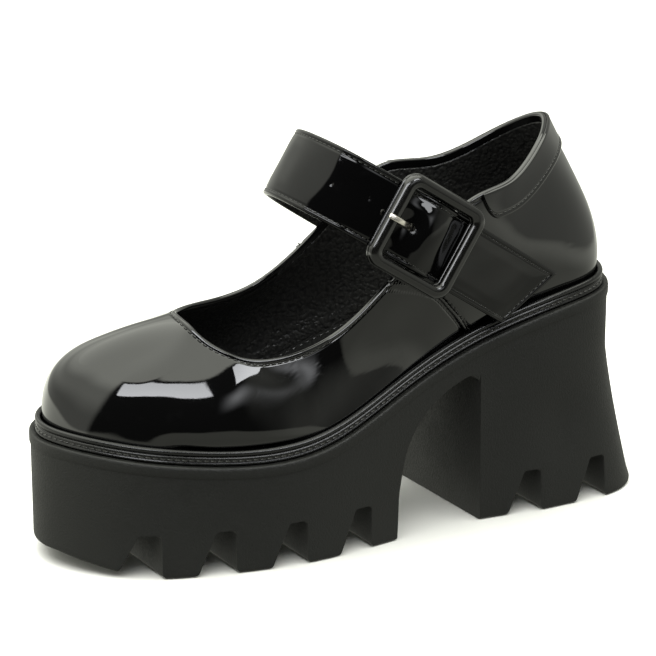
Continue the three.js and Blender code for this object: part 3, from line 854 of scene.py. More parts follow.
@dataclass(frozen=True)
class FootForm:
    """The last's outer form: footbed, foot outline, topline and the upper between."""

    last_length: float = 238.5
    ball_width: float = 90.0
    collar_height: float = 71.5
    platform_height: float = 44.6
    heel_height: float = 91.5
    welt_height: float = 6.2
    clearance: float = 0.3
    welt_share: float = 0.12
    outline_step: float = 0.02
    place_step: float = 0.03
    rise_step: float = 0.01
    walk_rows: int = 301

    @cached_property
    def controls(self) -> Points:
        """Control rows of the upper's table."""
        return closed_controls(UPPER_ROWS)

    @cached_property
    def footbed_curve(self) -> OpenSpline:
        """Footbed's share of the climb along the last."""
        return OpenSpline(FOOTBED_ROWS[:, 0], FOOTBED_ROWS[:, 1])

    def footbed(self, y: Points) -> Points:
        """Height of the footbed at a distance from the toe."""
        climb = self.heel_height - self.platform_height
        return self.platform_height + climb * self.footbed_curve(y / self.last_length)

    def foot(self, place: Points) -> Points:
        """Plan point of the upper's foot at each place."""
        values = closed_spline(self.controls[:, :2], place)
        return values * np.array([self.ball_width, self.last_length])

    def topline(self, place: Points) -> Points:
        """Point of the topline.

        Args:
            place: Places round the foot.

        Returns:
            Points in part millimetres.
        """
        values = closed_spline(self.controls[:, 2:5], place)
        y = values[..., 1] * self.last_length
        z = self.footbed(y) + values[..., 2] * self.collar_height
        return np.stack([values[..., 0] * self.ball_width, y, z], axis=-1)

    def outward(self, curve: Curve, place: Points) -> Points:
        """Level direction out of a plan curve."""
        step = curve(place + self.outline_step) - curve(place - self.outline_step)
        return unit(np.stack([step[..., 1], -step[..., 0], np.zeros(place.shape)], axis=-1))

    def outer(self, place: Points, rise: Points) -> Points:
        """Point of the upper's outer face.

        Args:
            place: Places round the foot, in table rows.
            rise: 0 at the footbed, 1 at the topline.

        Returns:
            Points in part millimetres.
        """
        place, rise = np.broadcast_arrays(np.asarray(place, float), np.asarray(rise, float))
        values = closed_spline(self.controls, place)
        foot = self.foot(place)
        base = self.footbed(foot[..., 1]) + self.clearance
        lift, flare, reach = (values[..., k : k + 1] * self.collar_height for k in (5, 6, 7))
        pitch = np.radians(values[..., 8:9])
        start = np.concatenate([foot, (base + self.welt_height)[..., None]], axis=-1)
        end = self.topline(place)
        first = start + self.outward(self.foot, place) * flare + UP * lift
        second = end + self.outward(self.topline, place) * reach * np.cos(pitch)
        second = second - UP * reach * np.sin(pitch)
        t = np.clip((rise - self.welt_share) / (1.0 - self.welt_share), 0.0, 1.0)[..., None]
        s = 1.0 - t
        curve = start * s**3 + 3.0 * first * s * s * t + 3.0 * second * s * t * t + end * t**3
        low = base + self.welt_height * rise / self.welt_share
        band = np.concatenate([foot, low[..., None]], axis=-1)
        return np.where((rise < self.welt_share)[..., None], band, curve)

    def step_up(self, place: Points, rise: Points) -> Points:
        """Small step up the upper's face."""
        high = self.outer(place, np.minimum(1.0, rise + self.rise_step))
        return high - self.outer(place, np.maximum(0.0, rise - self.rise_step))

    def climb(self, place: Points, rise: Points) -> Points:
        """Direction up the upper's face."""
        return unit(self.step_up(place, rise))

    def normal(self, place: Points, rise: Points) -> Points:
        """Direction out of the upper's face.

        Args:
            place: Places round the foot.
            rise: 0 at the footbed, 1 at the topline.

        Returns:
            Vectors of length one.
        """
        place, rise = np.broadcast_arrays(np.asarray(place, float), np.asarray(rise, float))
        ahead = self.outer(place + self.place_step, rise)
        ahead = ahead - self.outer(place - self.place_step, rise)
        return unit(np.cross(ahead, self.step_up(place, rise)))

    def rise_below(self, place: Points, depth: Points) -> Points:
        """Rise at depths below the topline, measured along the upper's face.

        Args:
            place: One place for each meridian.
            depth: Depths in millimetres, one row for each meridian.

        Returns:
            Rises, in the shape of depth.
        """
        rises = np.linspace(1.0, 0.0, self.walk_rows)
        line = self.outer(place[:, None], rises[None, :])
        steps = np.linalg.norm(np.diff(line, axis=1), axis=-1)
        walked = np.concatenate([np.zeros((len(place), 1)), np.cumsum(steps, axis=1)], axis=1)
        return np.stack([np.interp(d, w, rises) for d, w in zip(depth, walked)])

    def sole_edge(self, place: Points, step: float) -> Points:
        """Plan point outside the upper's foot, at height zero.

        Args:
            place: Places round the foot.
            step: How far outside.

        Returns:
            Points in part millimetres.
        """
        foot = self.foot(place)
        level = np.concatenate([foot, np.zeros(place.shape + (1,))], axis=-1)
        return level + self.outward(self.foot, place) * step


@dataclass(frozen=True)
class StitchRow:
    """Lockstitches along a line: each one a small arched length of thread."""

    pitch: float = 2.7
    length: float = 2.05
    radius: float = 0.27
    rise: float = 0.16
    sunk: float = 0.12
    corners: int = 6

    def lay(self, parts: MeshParts, line: Points, normals: Points) -> None:
        """Lay stitches along a line.

        Args:
            parts: Mesh that gets them.
            line: Points of the line on the surface.
            normals: Direction out of the surface at those points.
        """
        rows, _ = resample(line, self.pitch)
        centre = rows_at(line, rows)
        out = unit(rows_at(normals, rows))
        along = unit(rows_at(line, rows + 0.2) - rows_at(line, rows - 0.2))
        side = np.cross(along, out)
        shares = np.array([-1.0, -0.78, -0.3, 0.3, 0.78, 1.0])
        swell = np.array([0.35, 0.86, 1.0, 1.0, 0.86, 0.35]) * self.radius
        height = self.rise * (1.0 - shares**4) - self.sunk * shares**4
        turns = np.arange(self.corners) * FULL_TURN / self.corners
        axis = centre[:, None] + along[:, None] * (shares * self.length / 2.0)[:, None]
        axis = axis + out[:, None] * height[:, None]
        spread = side[:, None, None] * np.cos(turns)[:, None]
        spread = spread + out[:, None, None] * np.sin(turns)[:, None]
        points = axis[:, :, None] + spread * swell[:, None, None]
        quads = grid_quads(len(shares), self.corners, wrap_columns=True)
        first = np.arange(len(centre))[:, None, None] * len(shares) * self.corners
        parts.add(points, (first + quads).reshape(-1, 4))
        parts.cap_tubes(self.corners, len(shares), len(centre))


@dataclass
class ShoePart:
    """What every sub-assembly of the shoe is built from."""

    form: FootForm
    seat: Seat
    wardrobe: Wardrobe


# Upper


@dataclass(frozen=True)
class SoftFold:
    """A soft trough in the upper between two spots given as place and rise."""

    start: tuple[float, float]
    end: tuple[float, float]
    width: float
    depth: float

    def relief(self, form: FootForm, points: Points) -> Points:
        """How far the fold moves the surface out; a trough is negative.

        Args:
            form: The upper's form.
            points: Points of the surface.

        Returns:
            A distance for each point.
        """
        share = np.linspace(0.0, 1.0, 25)
        place = self.start[0] * (1.0 - share) + self.end[0] * share
        rise = self.start[1] * (1.0 - share) + self.end[1] * share
        line = form.outer(place, rise)
        apart = np.linalg.norm(points[:, None] - line[None], axis=-1)
        near = apart.min(axis=1)
        taper = np.sin(np.pi * np.clip(share[apart.argmin(axis=1)], 0.08, 0.92)) ** 0.7
        ridge = 0.45 * hump(near - 1.9 * self.width, 0.9 * self.width)
        return -self.depth * taper * (hump(near, self.width) - ridge)


@dataclass(frozen=True)
class LapSeam:
    """A lapped seam up the upper: a folded edge, a groove and a row of stitches."""

    path: tuple[tuple[float, float], ...]
    lap: float = 0.5
    bead: float = 0.45
    groove: float = 0.75
    proud_side: int = 1
    stitch_step: float = 1.9
    stitch_lift: float = 0.25

    def spots(self, count: int) -> tuple[Points, Points]:
        """Places and rises along the seam.

        Args:
            count: How many spots.

        Returns:
            The places and the rises.
        """
        rows = np.array(self.path)
        rise = np.linspace(rows[0, 1], rows[-1, 1], count)
        return OpenSpline(rows[:, 1], rows[:, 0])(rise), rise

    def relief(self, form: FootForm, points: Points, place: Points, rise: Points) -> Points:
        """How far the surface moves out near the seam.

        Args:
            form: The upper's form.
            points: Points of the surface.
            place: Their places.
            rise: Their rises.

        Returns:
            A distance for each point.
        """
        seam_place, seam_rise = self.spots(120)
        line = form.outer(seam_place, seam_rise)
        near = np.linalg.norm(points[:, None] - line[None], axis=-1).min(axis=1)
        half = PLACES / 2.0
        turn = (place - np.interp(rise, seam_rise, seam_place) + half) % PLACES - half
        side = near * np.sign(turn) * self.proud_side
        step = self.lap * smoothstep(side, -0.35, 0.35) * (1.0 - smoothstep(side, 3.0, 14.0))
        bead = self.bead * hump(side - 0.75, 0.7)
        groove = -self.groove * (hump(side - 2.2, 0.55) + hump(side + 0.6, 0.6))
        return step + bead + groove


@dataclass
class Upper(ShoePart):
    """Patent shell with a folded topline, side seams, soft folds and a grained lining."""

    wall: float = 2.2
    leather: float = 1.15
    fold_inside: float = 2.5
    stitch_depth: float = 2.45
    stations: int = 590
    seam_stations: int = 44
    outer_rows: int = 92
    edge_rows: int = 16
    edge_zone: float = 6.5
    throat: tuple[float, float] = (16.9, PLACES + 9.1)
    back_place: float = 13.0
    back_mm_per_place: float = 11.0
    strip_depth: float = 12.0
    seams: tuple[LapSeam, ...] = (
        LapSeam((
            (8.84, 0.08), (8.7, 0.19), (8.59, 0.28), (8.46, 0.39), (8.34, 0.5), (8.0, 0.72),
            (7.5, 1.0),
        )),
        LapSeam((
            (17.12, 0.08), (17.27, 0.19), (17.4, 0.28), (17.54, 0.39), (17.7, 0.5),
            (18.1, 0.72), (18.6, 1.0),
        ), proud_side=-1),
    )
    folds: tuple[SoftFold, ...] = (
        SoftFold((4.5, 0.93), (5.7, 0.84), 4.5, 0.30),
        SoftFold((5.9, 0.78), (7.7, 0.50), 8.0, 0.42),
        SoftFold((6.0, 0.42), (7.9, 0.26), 6.5, 0.26),
        SoftFold((9.2, 0.34), (9.9, 0.20), 5.0, 0.30),
        SoftFold((10.6, 0.40), (11.6, 0.30), 8.0, 0.30),
        SoftFold((18.8, 0.74), (20.6, 0.46), 9.0, 0.45),
        SoftFold((19.6, 0.44), (21.4, 0.30), 7.0, 0.30),
        SoftFold((14.6, 0.42), (15.8, 0.30), 8.0, 0.30),
        SoftFold((22.6, 0.66), (23.6, 0.62), 9.0, 0.22),
    )
    places: Points = field(init=False)

    def __post_init__(self) -> None:
        """Set the stations round the foot, closer together at the foot of each seam."""
        close = [
            np.linspace(-0.5, 0.3, self.seam_stations) * seam.proud_side + seam.path[1][0]
            for seam in self.seams
        ]
        self.places = np.unique(np.concatenate([even_places(self.stations), *close]).round(6))

    def relief(self, points: Points, place: Points, rise: Points, depth: Points) -> Points:
        """How far the patent surface stands out of its plain form.

        Args:
            points: Points of the plain form.
            place: Their places.
            rise: Their rises.
            depth: Their depths below the topline.

        Returns:
            Distances in millimetres.
        """
        x, y, z = points.T
        sway = 0.05 * np.sin(x / 6.1 + y / 9.7) + 0.05 * np.sin(y / 7.3 - z / 5.9 + 1.3)
        sway += 0.04 * np.sin(x / 3.7 - z / 6.3 + 0.7)
        folded = 0.2 * (1.0 - smoothstep(depth, 1.4, 2.2))
        groove = -0.3 * hump(depth - self.stitch_depth, 0.42)
        total = sway * smoothstep(rise, 0.12, 0.3) + folded + groove
        for fold in self.folds:
            total += fold.relief(self.form, points)
        for seam in self.seams:
            total += seam.relief(self.form, points, place, rise)
        back = np.abs((place - self.back_place) * self.back_mm_per_place)
        back_seam = -0.35 * hump(back, 0.6) + 0.16 * hump(back - 1.4, 0.7)
        return total + np.where(depth > self.strip_depth, back_seam, 0.0)

    def offset(self, rises: Points, distance: float | Points) -> Points:
        """Points away from the outer face.

        Args:
            rises: One row of rises for each station.
            distance: How far out, one for all or one for each rise.

        Returns:
            Points, stations by rises.
        """
        around = self.places[:, None].repeat(rises.shape[1], 1)
        away = self.form.normal(around, rises) * np.broadcast_to(distance, rises.shape)[..., None]
        return self.form.outer(around, rises) + away

    def below(self, depths: Sequence[float] | Points) -> Points:
        """Rises of every station at the given depths under the topline."""
        rows = np.asarray(depths)[None].repeat(len(self.places), 0)
        return self.form.rise_below(self.places, rows)

    def build_shell(self) -> Object:
        """Outer face, folded topline and the hidden inner face, as one closed shell."""
        form, places = self.form, self.places
        radius = self.wall / 2.0
        edge = self.below(np.linspace(self.edge_zone, radius, self.edge_rows))
        main = edge[:, :1] * np.linspace(0.0, 1.0, self.outer_rows)[None, :-1] ** 0.92
        rises = np.concatenate([main, edge], axis=1)
        around = places[:, None].repeat(rises.shape[1], 1)
        plain = form.outer(around, rises)
        lengths = np.linalg.norm(np.diff(plain, axis=1), axis=-1)
        depth = radius + np.concatenate(
            [np.cumsum(lengths[:, ::-1], axis=1)[:, ::-1], np.zeros((len(places), 1))], axis=1
        )
        out = self.relief(plain.reshape(-1, 3), around.ravel(), rises.ravel(), depth.ravel())
        away = form.normal(places, edge[:, -1])[:, None]
        turns = np.linspace(0.0, math.pi, 12)[1:, None]
        middle = plain[:, -1:] - away * radius
        roll = middle + (radius + 0.2 * (1.0 + np.cos(turns)) / 2.0) * away * np.cos(turns)
        roll = roll + form.climb(places, edge[:, -1])[:, None] * radius * np.sin(turns)
        inside = self.below(np.array([0.8, 1.7, self.fold_inside]) + radius)
        low = self.below([self.fold_inside + radius + 0.25]) * np.linspace(1.0, 0.0, 22)[None]
        faces = [
            self.offset(rises, out.reshape(rises.shape)), roll,
            self.offset(inside, -self.wall), self.offset(low, -self.leather),
        ]
        ring = np.concatenate(faces, axis=1)
        parts = MeshParts(self.seat)
        parts.add(ring, grid_quads(*ring.shape[:2], wrap_rows=True, wrap_columns=True))
        return parts.place("patent_shell", self.wardrobe.patent, Slot.PATENT_UPPER, "upper", 75.0)

    def build_lining(self) -> Object:
        """Grained lining inside the shell, with its own rounded upper edge."""
        start = self.wall / 2.0 + self.fold_inside + 0.1
        rounding = start + np.array([0.0, 0.25, 0.6, 1.2, 2.2, 3.2])
        edge = self.below(np.concatenate([rounding, np.linspace(4.6, 9.0, 4)]))
        main = edge[:, -1:] * np.linspace(1.0, 0.0, 52)[None, 1:] ** 1.05
        rises = np.concatenate([edge, main], axis=1)
        swell = np.full(rises.shape, self.wall + 0.05)
        swell[:, 0] = self.leather + 0.25
        swell[:, 1] = self.wall - 0.3
        swell[:, 4] -= 0.22
        x, y, z = np.moveaxis(self.offset(rises, 0.0), -1, 0)
        wrinkle = 0.18 * np.sin(y / 5.3 + z / 9.0) * np.sin(x / 7.0 + 0.8)
        wrinkle = wrinkle * smoothstep(rises, 0.1, 0.4) * smoothstep(1.0 - rises, 0.1, 0.3)
        inner = self.offset(rises, wrinkle - swell)
        outer = self.offset(rises[:, ::-6], -self.leather - 0.06)
        ring = np.concatenate([inner, outer], axis=1)
        parts = MeshParts(self.seat)
        parts.add(ring, grid_quads(*ring.shape[:2], wrap_rows=True, wrap_columns=True))
        return parts.place(
            "grained_lining", self.wardrobe.lining, Slot.LINING_LEATHER, crease=75.0
        )

    def build_stitching(self) -> Object:
        """Stitches below the throat's edge and beside the side seams."""
        parts = MeshParts(self.seat)
        row = StitchRow()
        place = np.linspace(*self.throat, 900)
        rise = self.form.rise_below(place, np.full((len(place), 1), self.stitch_depth))[:, 0]
        normals = self.form.normal(place, rise)
        row.lay(parts, self.form.outer(place, rise) - normals * 0.22, normals)
        for seam in self.seams:
            place, rise = seam.spots(160)
            normals = self.form.normal(place, rise)
            line = self.form.outer(place, rise)
            aside = unit(np.cross(normals, np.gradient(line, axis=0)))
            aside = aside * -seam.stitch_step * seam.proud_side
            row.lay(parts, line + aside + normals * seam.stitch_lift, normals)
        return parts.place("upper_stitching", self.wardrobe.thread, Slot.PATENT_UPPER)


@dataclass
class CollarStrip(ShoePart):
    """Raised strip stitched round the heel part of the collar."""

    depth: float = 13.0
    thickness: float = 1.0
    start: float = 9.22
    end: float = 16.78
    corner: float = 9.0
    end_depth: float = 1.2
    mm_per_place: float = 27.0
    back_height: float = 0.32
    face_height: float = 0.42
    stitch_inset: float = 2.0
    stations: int = 300

    def spot(self, place: Points, share: Points, height: Points) -> Points:
        """Point of the strip.

        Args:
            place: Places of the sections.
            share: 0 at the lower edge, 1 at the topline.
            height: Distance out of the upper's face.

        Returns:
            Points, sections by shares.
        """
        walked = np.minimum(place - self.start, self.end - place) * self.mm_per_place
        taper = 1.0 - (1.0 - np.clip(walked / self.corner, 0.0, 1.0)) ** 2.4
        full = self.end_depth + (self.depth - self.end_depth) * taper
        depth = full[:, None] * (1.0 - share[None]) + 0.5 * share[None]
        rise = self.form.rise_below(place, depth)
        around = place[:, None].repeat(len(share), 1)
        away = self.form.normal(around, rise) * height[None, :, None]
        return self.form.outer(around, rise) + away

    def build(self) -> list[Object]:
        """The strip and its stitches."""
        place = np.linspace(self.start, self.end, self.stations)
        share = np.concatenate([
            [0.0, 0.0, 0.012, 0.04], np.linspace(0.08, 0.92, 22), [0.965, 0.99, 1.0, 1.0],
            [0.66, 0.33],
        ])
        edge = np.minimum(share, 1.0 - share) * self.depth
        height = self.face_height + self.thickness * np.clip(edge / 0.5, 0.0, 1.0) ** 0.5
        from_foot = share * self.depth
        height += 0.26 * hump(from_foot - 0.9, 0.55)
        height -= 0.24 * hump(from_foot - self.stitch_inset, 0.35)
        height[[0, -3, -2, -1]] = self.back_height
        parts = MeshParts(self.seat)
        points = self.spot(place, share, height)
        parts.add(points, grid_quads(len(place), len(share), wrap_columns=True))
        parts.cap_tubes(len(share), len(place))
        thread = MeshParts(self.seat)
        inner = np.linspace(self.start + 0.12, self.end - 0.12, 500)
        seam_share = np.array([self.stitch_inset / self.depth])
        seam_height = np.array([self.face_height + self.thickness - 0.2])
        line = self.spot(inner, seam_share, seam_height)[:, 0]
        below = np.full((len(inner), 1), self.depth - self.stitch_inset)
        normals = self.form.normal(inner, self.form.rise_below(inner, below)[:, 0])
        StitchRow(pitch=2.5).lay(thread, line, normals)
        wardrobe, slot = self.wardrobe, Slot.PATENT_UPPER
        return [
            parts.place("collar_strip", wardrobe.patent, slot, "collar_band", 70.0),
            thread.place("collar_stitching", wardrobe.thread, slot),
        ]


# Sole, welt and insole


@dataclass(frozen=True)
class HeelDish:
    """A shallow dish in the side of the heel, where the moulding is hollowed."""

    y: float
    z: float
    half_length: float
    half_height: float
    depth: float

    def relief(self, y: Points, z: Points) -> Points:
        """How far the wall lies back at each point."""
        along, up = (y - self.y) / self.half_length, (z - self.z) / self.half_height
        return self.depth * np.exp(-(along**2) - up**2)


@dataclass
class SoleUnit(ShoePart):
    """Moulded platform and heel in one, with its channels, arch, rim band and ledge."""

    toe_spring: float = 7.0
    ledge_width: float = 2.0
    band_height: float = 4.6
    band_proud: float = 0.5
    band_soft: float = 0.45
    heel_flare: float = 14.6
    heel_side_flare: float = 1.3
    edge_radius: float = 1.3
    eased_edge: float = 0.55
    channel_depth: float = 18.5
    channel_mouth: float = 14.5
    channel_top: float = 7.8
    channel_corner: float = 2.6
    channel_top_corner: float = 1.4
    overhang: float = 5.0
    stations: int = 560
    wall_rows: int = 44
    channels: tuple[float, ...] = (0.105, 0.224, 0.348, 0.476, 0.823, 0.961)
    arch_start: float = 0.531
    arch_length: float = 0.1744
    arch_height: float = 0.7027
    dish: HeelDish = HeelDish(206.0, 38.0, 15.0, 15.0, 1.6)

    def tread(self, y: Points) -> Points:
        """Height of the tread: flat, then lifted towards the toe."""
        run = np.maximum(0.0, 0.11 - y / self.form.last_length) / 0.13
        return self.toe_spring * np.minimum(run, 1.0) ** 1.6

    def lean(self, place: Points, drop: float) -> Points:
        """How far the heel's wall leans out.

        Args:
            place: Places round the foot.
            drop: 0 under the rim band, 1 at the floor.

        Returns:
            A distance for each place.
        """
        foot = self.form.foot(place)
        out = self.form.outward(self.form.foot, place)
        backward = np.maximum(0.0, out[..., 1]) ** 1.3
        along = smoothstep(foot[..., 1] / self.form.last_length, 0.7, 0.85)
        lean = max(0.0, (drop - 0.26) / 0.74) ** 1.2
        return along * lean * (self.heel_flare * backward + self.heel_side_flare * (1.0 - backward))

    def loop(self, place: Points, drop: float, extra: float, lift: float = 0.0) -> Points:
        """One loop of the wall.

        Args:
            place: Stations of the loop.
            drop: 0 under the rim band, 1 at the floor.
            extra: Step outside the plain wall.
            lift: Height added to the loop.

        Returns:
            Points in part millimetres.
        """
        plain = self.form.sole_edge(place, self.overhang)
        out = self.form.outward(self.form.foot, place)
        edge = plain + out * (extra + self.lean(place, drop))[:, None]
        top = self.form.footbed(edge[:, 1] if drop == 0 else plain[:, 1])
        bottom = self.tread(edge[:, 1])
        edge[:, 2] = top - self.band_height + (bottom + self.band_height - top) * drop + lift
        return edge

    def seat_in_row(self) -> Seat:
        """Seat that lays this sole's own outline on the CAD node's box."""
        place = even_places(80)
        loops = [self.loop(place, 1.0, 0.0), self.loop(place, 0.0, self.band_proud)]
        points = np.concatenate(loops)
        low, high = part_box("sole_unit")
        middle = (np.array(low[:2]) + np.array(high[:2])) / 2.0 / MM
        own = (points[:, :2].min(axis=0) + points[:, :2].max(axis=0)) / 2.0
        shift = middle - own
        return Seat((float(shift[0]), float(shift[1]), 0.0))

    def body(self) -> MeshParts:
        """Closed body before the channels are cut."""
        place = even_places(self.stations)
        radius, proud, high = self.edge_radius, self.band_proud, self.band_height
        loops = [
            self.loop(place, 1.0, -radius * (1.0 - math.sin(a)), radius * (1.0 - math.cos(a)))
            for a in np.linspace(0.0, math.pi / 2.0, 5)
        ]
        out = self.form.outward(self.form.foot, place)
        side = np.abs(out[:, 0]) > 0.3
        for drop in np.linspace(0.94, 0.02, self.wall_rows):
            wall = self.loop(place, float(drop), 0.0)
            back = self.dish.relief(wall[:, 1], wall[:, 2]) * side
            loops.append(wall - out * back[:, None])
        soft, ledge = self.band_soft, -self.ledge_width
        loops += [self.loop(place, 0.0, extra, lift) for extra, lift in (
            (0.0, 0.0), (proud * 0.8, 0.15), (proud, 0.5), (proud, high * 0.5),
            (proud, high - 1.3), (proud - 0.15, high - soft), (proud - soft, high - 0.1),
            (-0.4, high), (ledge, high), (ledge - 0.3, high - 0.25), (ledge - 1.2, high - 0.25),
        )]
        parts = MeshParts(self.seat)
        parts.add(np.stack(loops), grid_quads(len(loops), len(place), wrap_columns=True))
        parts.faces += [list(reversed(t)) for t in strip_cap(loops[0])]
        base = (len(loops) - 1) * len(place)
        parts.faces += [[base + k for k in t] for t in strip_cap(loops[-1])]
        parts.finish += [0] * (len(parts.faces) - len(parts.finish))
        return parts

    def channel(self, rear: float) -> Points:
        """Side profile of one channel, with rounded lug corners.

        Args:
            rear: Distance of its rear wall from the toe.

        Returns:
            Distance from the toe and height of each corner.
        """
        corner, top, deep = self.channel_corner, self.channel_top_corner, self.channel_depth
        front, start = rear - self.channel_mouth, rear - self.channel_top
        turns = np.linspace(0.0, math.pi / 2.0, 6)
        slant = math.atan2(deep - corner, self.channel_mouth - self.channel_top)
        entry = [(front - corner, -1.0)] + [
            (front - corner + corner * math.sin(a), corner * (1.0 - math.cos(a)))
            for a in turns * 0.8
        ]
        high = [
            (start - 0.9 * math.cos(slant), deep - 0.9 * math.sin(slant)),
            (start + 0.4, deep - 0.1), (start + 1.0, deep), (rear - top, deep),
            (rear - top * 0.3, deep - top * 0.3), (rear, deep - top),
        ]
        leave = [
            (rear + corner * (1.0 - math.cos(a)), corner * (1.0 - math.sin(a))) for a in turns
        ]
        return np.array(entry + high + leave + [(rear + corner, -1.0)])

    def arch(self) -> Points:
        """Side profile of the opening between platform and heel."""
        walked = np.arange(len(ARCH_ROWS))
        spots = np.concatenate([np.linspace(0, 12, 60), [13.0]])
        run = OpenSpline(walked, ARCH_ROWS[:, 0])(spots)
        height = OpenSpline(walked, ARCH_ROWS[:, 1])(spots)
        run[:10] = np.interp(spots[:10], walked, ARCH_ROWS[:, 0])
        return np.stack([
            (self.arch_start + run * self.arch_length) * self.form.last_length,
            height * self.arch_height * self.form.heel_height,
        ], axis=1)

    def cutters(self) -> MeshParts:
        """Straight prisms across the shoe for the channels and the arch."""
        parts = MeshParts(self.seat)
        reach = self.form.ball_width
        profiles = [self.channel(share * self.form.last_length) for share in self.channels]
        for profile in [self.arch(), *profiles]:
            count = len(profile)
            ends = [np.column_stack([np.full(count, x), profile]) for x in (-reach, reach)]
            parts.add(np.stack(ends), grid_quads(2, count, wrap_columns=True))
            parts.cap_tubes(count, 2)
        return parts

    def build(self) -> Object:
        """The sole with its channels and arch cut and their edges eased."""
        block, cutter = self.body().mesh("sole_block"), self.cutters().mesh("cutter")
        mesh = carved(block, cutter, self.eased_edge)
        finishes, slot = [self.wardrobe.sole], Slot.MOULDED_SOLE
        return place_piece("moulded_sole", mesh, finishes, "sole_unit", 50.0)


@dataclass
class Welt(ShoePart):
    """Extruded strip round the upper's foot: a round bead over a mock-stitched band."""

    width: float = 3.0
    height: float = 6.2
    band_inset: float = 0.42
    stitch_height: float = 2.0
    stations: int = 620

    def profile(self) -> Points:
        """Section of the strip: step outward, height."""
        bead, wide = 0.42 * self.width, self.width
        centre = np.array([wide - bead, self.height - bead])
        turns = np.linspace(-0.42 * math.pi, 1.05 * math.pi, 16)
        round_edge = centre + bead * np.stack([np.cos(turns), np.sin(turns)], axis=1)
        face = np.array([
            [0.3, 0.3], [wide - 0.3, 0.3], [wide - 0.05, 0.45], [wide, 0.8], [wide - 0.1, 1.2],
            [wide - 0.4, 1.5], [wide - self.band_inset, 2.5], [wide - 0.3, 2.85],
            [wide - 0.5, 3.3],
        ])
        return np.concatenate([face, round_edge])

    def spot(self, place: Points, step: Points, height: Points) -> Points:
        """Points of the strip.

        Args:
            place: Places round the foot.
            step: Steps out of the upper's foot.
            height: Heights over the footbed, one for each step.

        Returns:
            Points, places by steps.
        """
        foot = self.form.sole_edge(place, 0.0)[:, None]
        out = self.form.outward(self.form.foot, place)[:, None]
        points = foot + out * step[None, :, None]
        points[..., 2] = self.form.footbed(points[..., 1]) + height[None]
        return points

    def build(self) -> list[Object]:
        """The strip and its mock stitches."""
        place, profile = even_places(self.stations), self.profile()
        points = self.spot(place, profile[:, 0], profile[:, 1])
        parts, thread = MeshParts(self.seat), MeshParts(self.seat)
        parts.add(
            points, grid_quads(len(place), len(profile), wrap_rows=True, wrap_columns=True)
        )
        around = np.linspace(0.0, PLACES, 1400)
        step, height = np.array([self.width - self.band_inset]), np.array([self.stitch_height])
        out = self.form.outward(self.form.foot, around)
        row = StitchRow(pitch=2.9, length=2.3, radius=0.42, rise=0.1)
        row.lay(thread, self.spot(around, step, height)[:, 0], out)
        wardrobe, slot = self.wardrobe, Slot.WELT_STRIP
        return [
            parts.place("welt_strip", wardrobe.welt, slot, "welt", 60.0),
            thread.place("welt_stitching", wardrobe.thread, slot),
        ]


@dataclass
class Insole(ShoePart):
    """Leather-covered footbed with a slight crown and an edge seam."""

    wall: float = 2.2
    thickness: float = 3.6
    seam_inset: float = 3.4
    spine: tuple[float, float] = (36.0, 208.0)
    stations: int = 360
    rings: int = 40

    def build(self) -> list[Object]:
        """The footbed and its edge stitches."""
        form = self.form
        edge = form.sole_edge(even_places(self.stations), -self.wall - form.clearance)
        y = np.clip(edge[:, 1], *self.spine)
        order = np.argsort(edge[:, 1])
        middle = np.poly1d(np.polyfit(edge[order, 1], edge[order, 0], 2))(y)
        spine = np.stack([middle, y, np.zeros(len(y))], axis=1)
        share = (np.linspace(0.0, 1.0, self.rings) ** 1.15)[None, :, None]
        top = edge[:, None] * (1.0 - share) + spine[:, None] * share
        inset = np.linalg.norm((top - edge[:, None])[..., :2], axis=-1)
        rounded = 0.9 * (1.0 - np.clip(inset / 0.9, 0.0, 1.0)) ** 2
        groove = 0.35 * hump(inset - self.seam_inset, 0.5)
        crown = 0.9 * smoothstep(inset, 2.0, 16.0)
        heel_cup = -0.8 * hump(top[..., 1] - 205.0, 22.0) * smoothstep(inset, 6.0, 22.0)
        lift = form.clearance + self.thickness - rounded - groove + crown + heel_cup
        top[..., 2] = form.footbed(top[..., 1]) + lift
        for loop in (edge, spine):
            loop[:, 2] = form.footbed(loop[:, 1]) + form.clearance
        ring = np.concatenate([spine[:, None], edge[:, None], top], axis=1)
        parts, thread = MeshParts(self.seat), MeshParts(self.seat)
        parts.add(ring, grid_quads(*ring.shape[:2], wrap_rows=True))
        around = np.linspace(0.0, PLACES, 900)
        seam = form.sole_edge(around, -self.wall - form.clearance - self.seam_inset)
        seam[:, 2] = form.footbed(seam[:, 1]) + form.clearance + self.thickness - 0.1
        StitchRow(pitch=3.2).lay(thread, seam, np.broadcast_to(UP, seam.shape))
        wardrobe, slot = self.wardrobe, Slot.LINING_LEATHER
        return [
            parts.place("leather_footbed", wardrobe.insole, slot, "insole", 60.0),
            thread.place("footbed_stitching", wardrobe.thread, slot),
        ]


# Strap and buckle


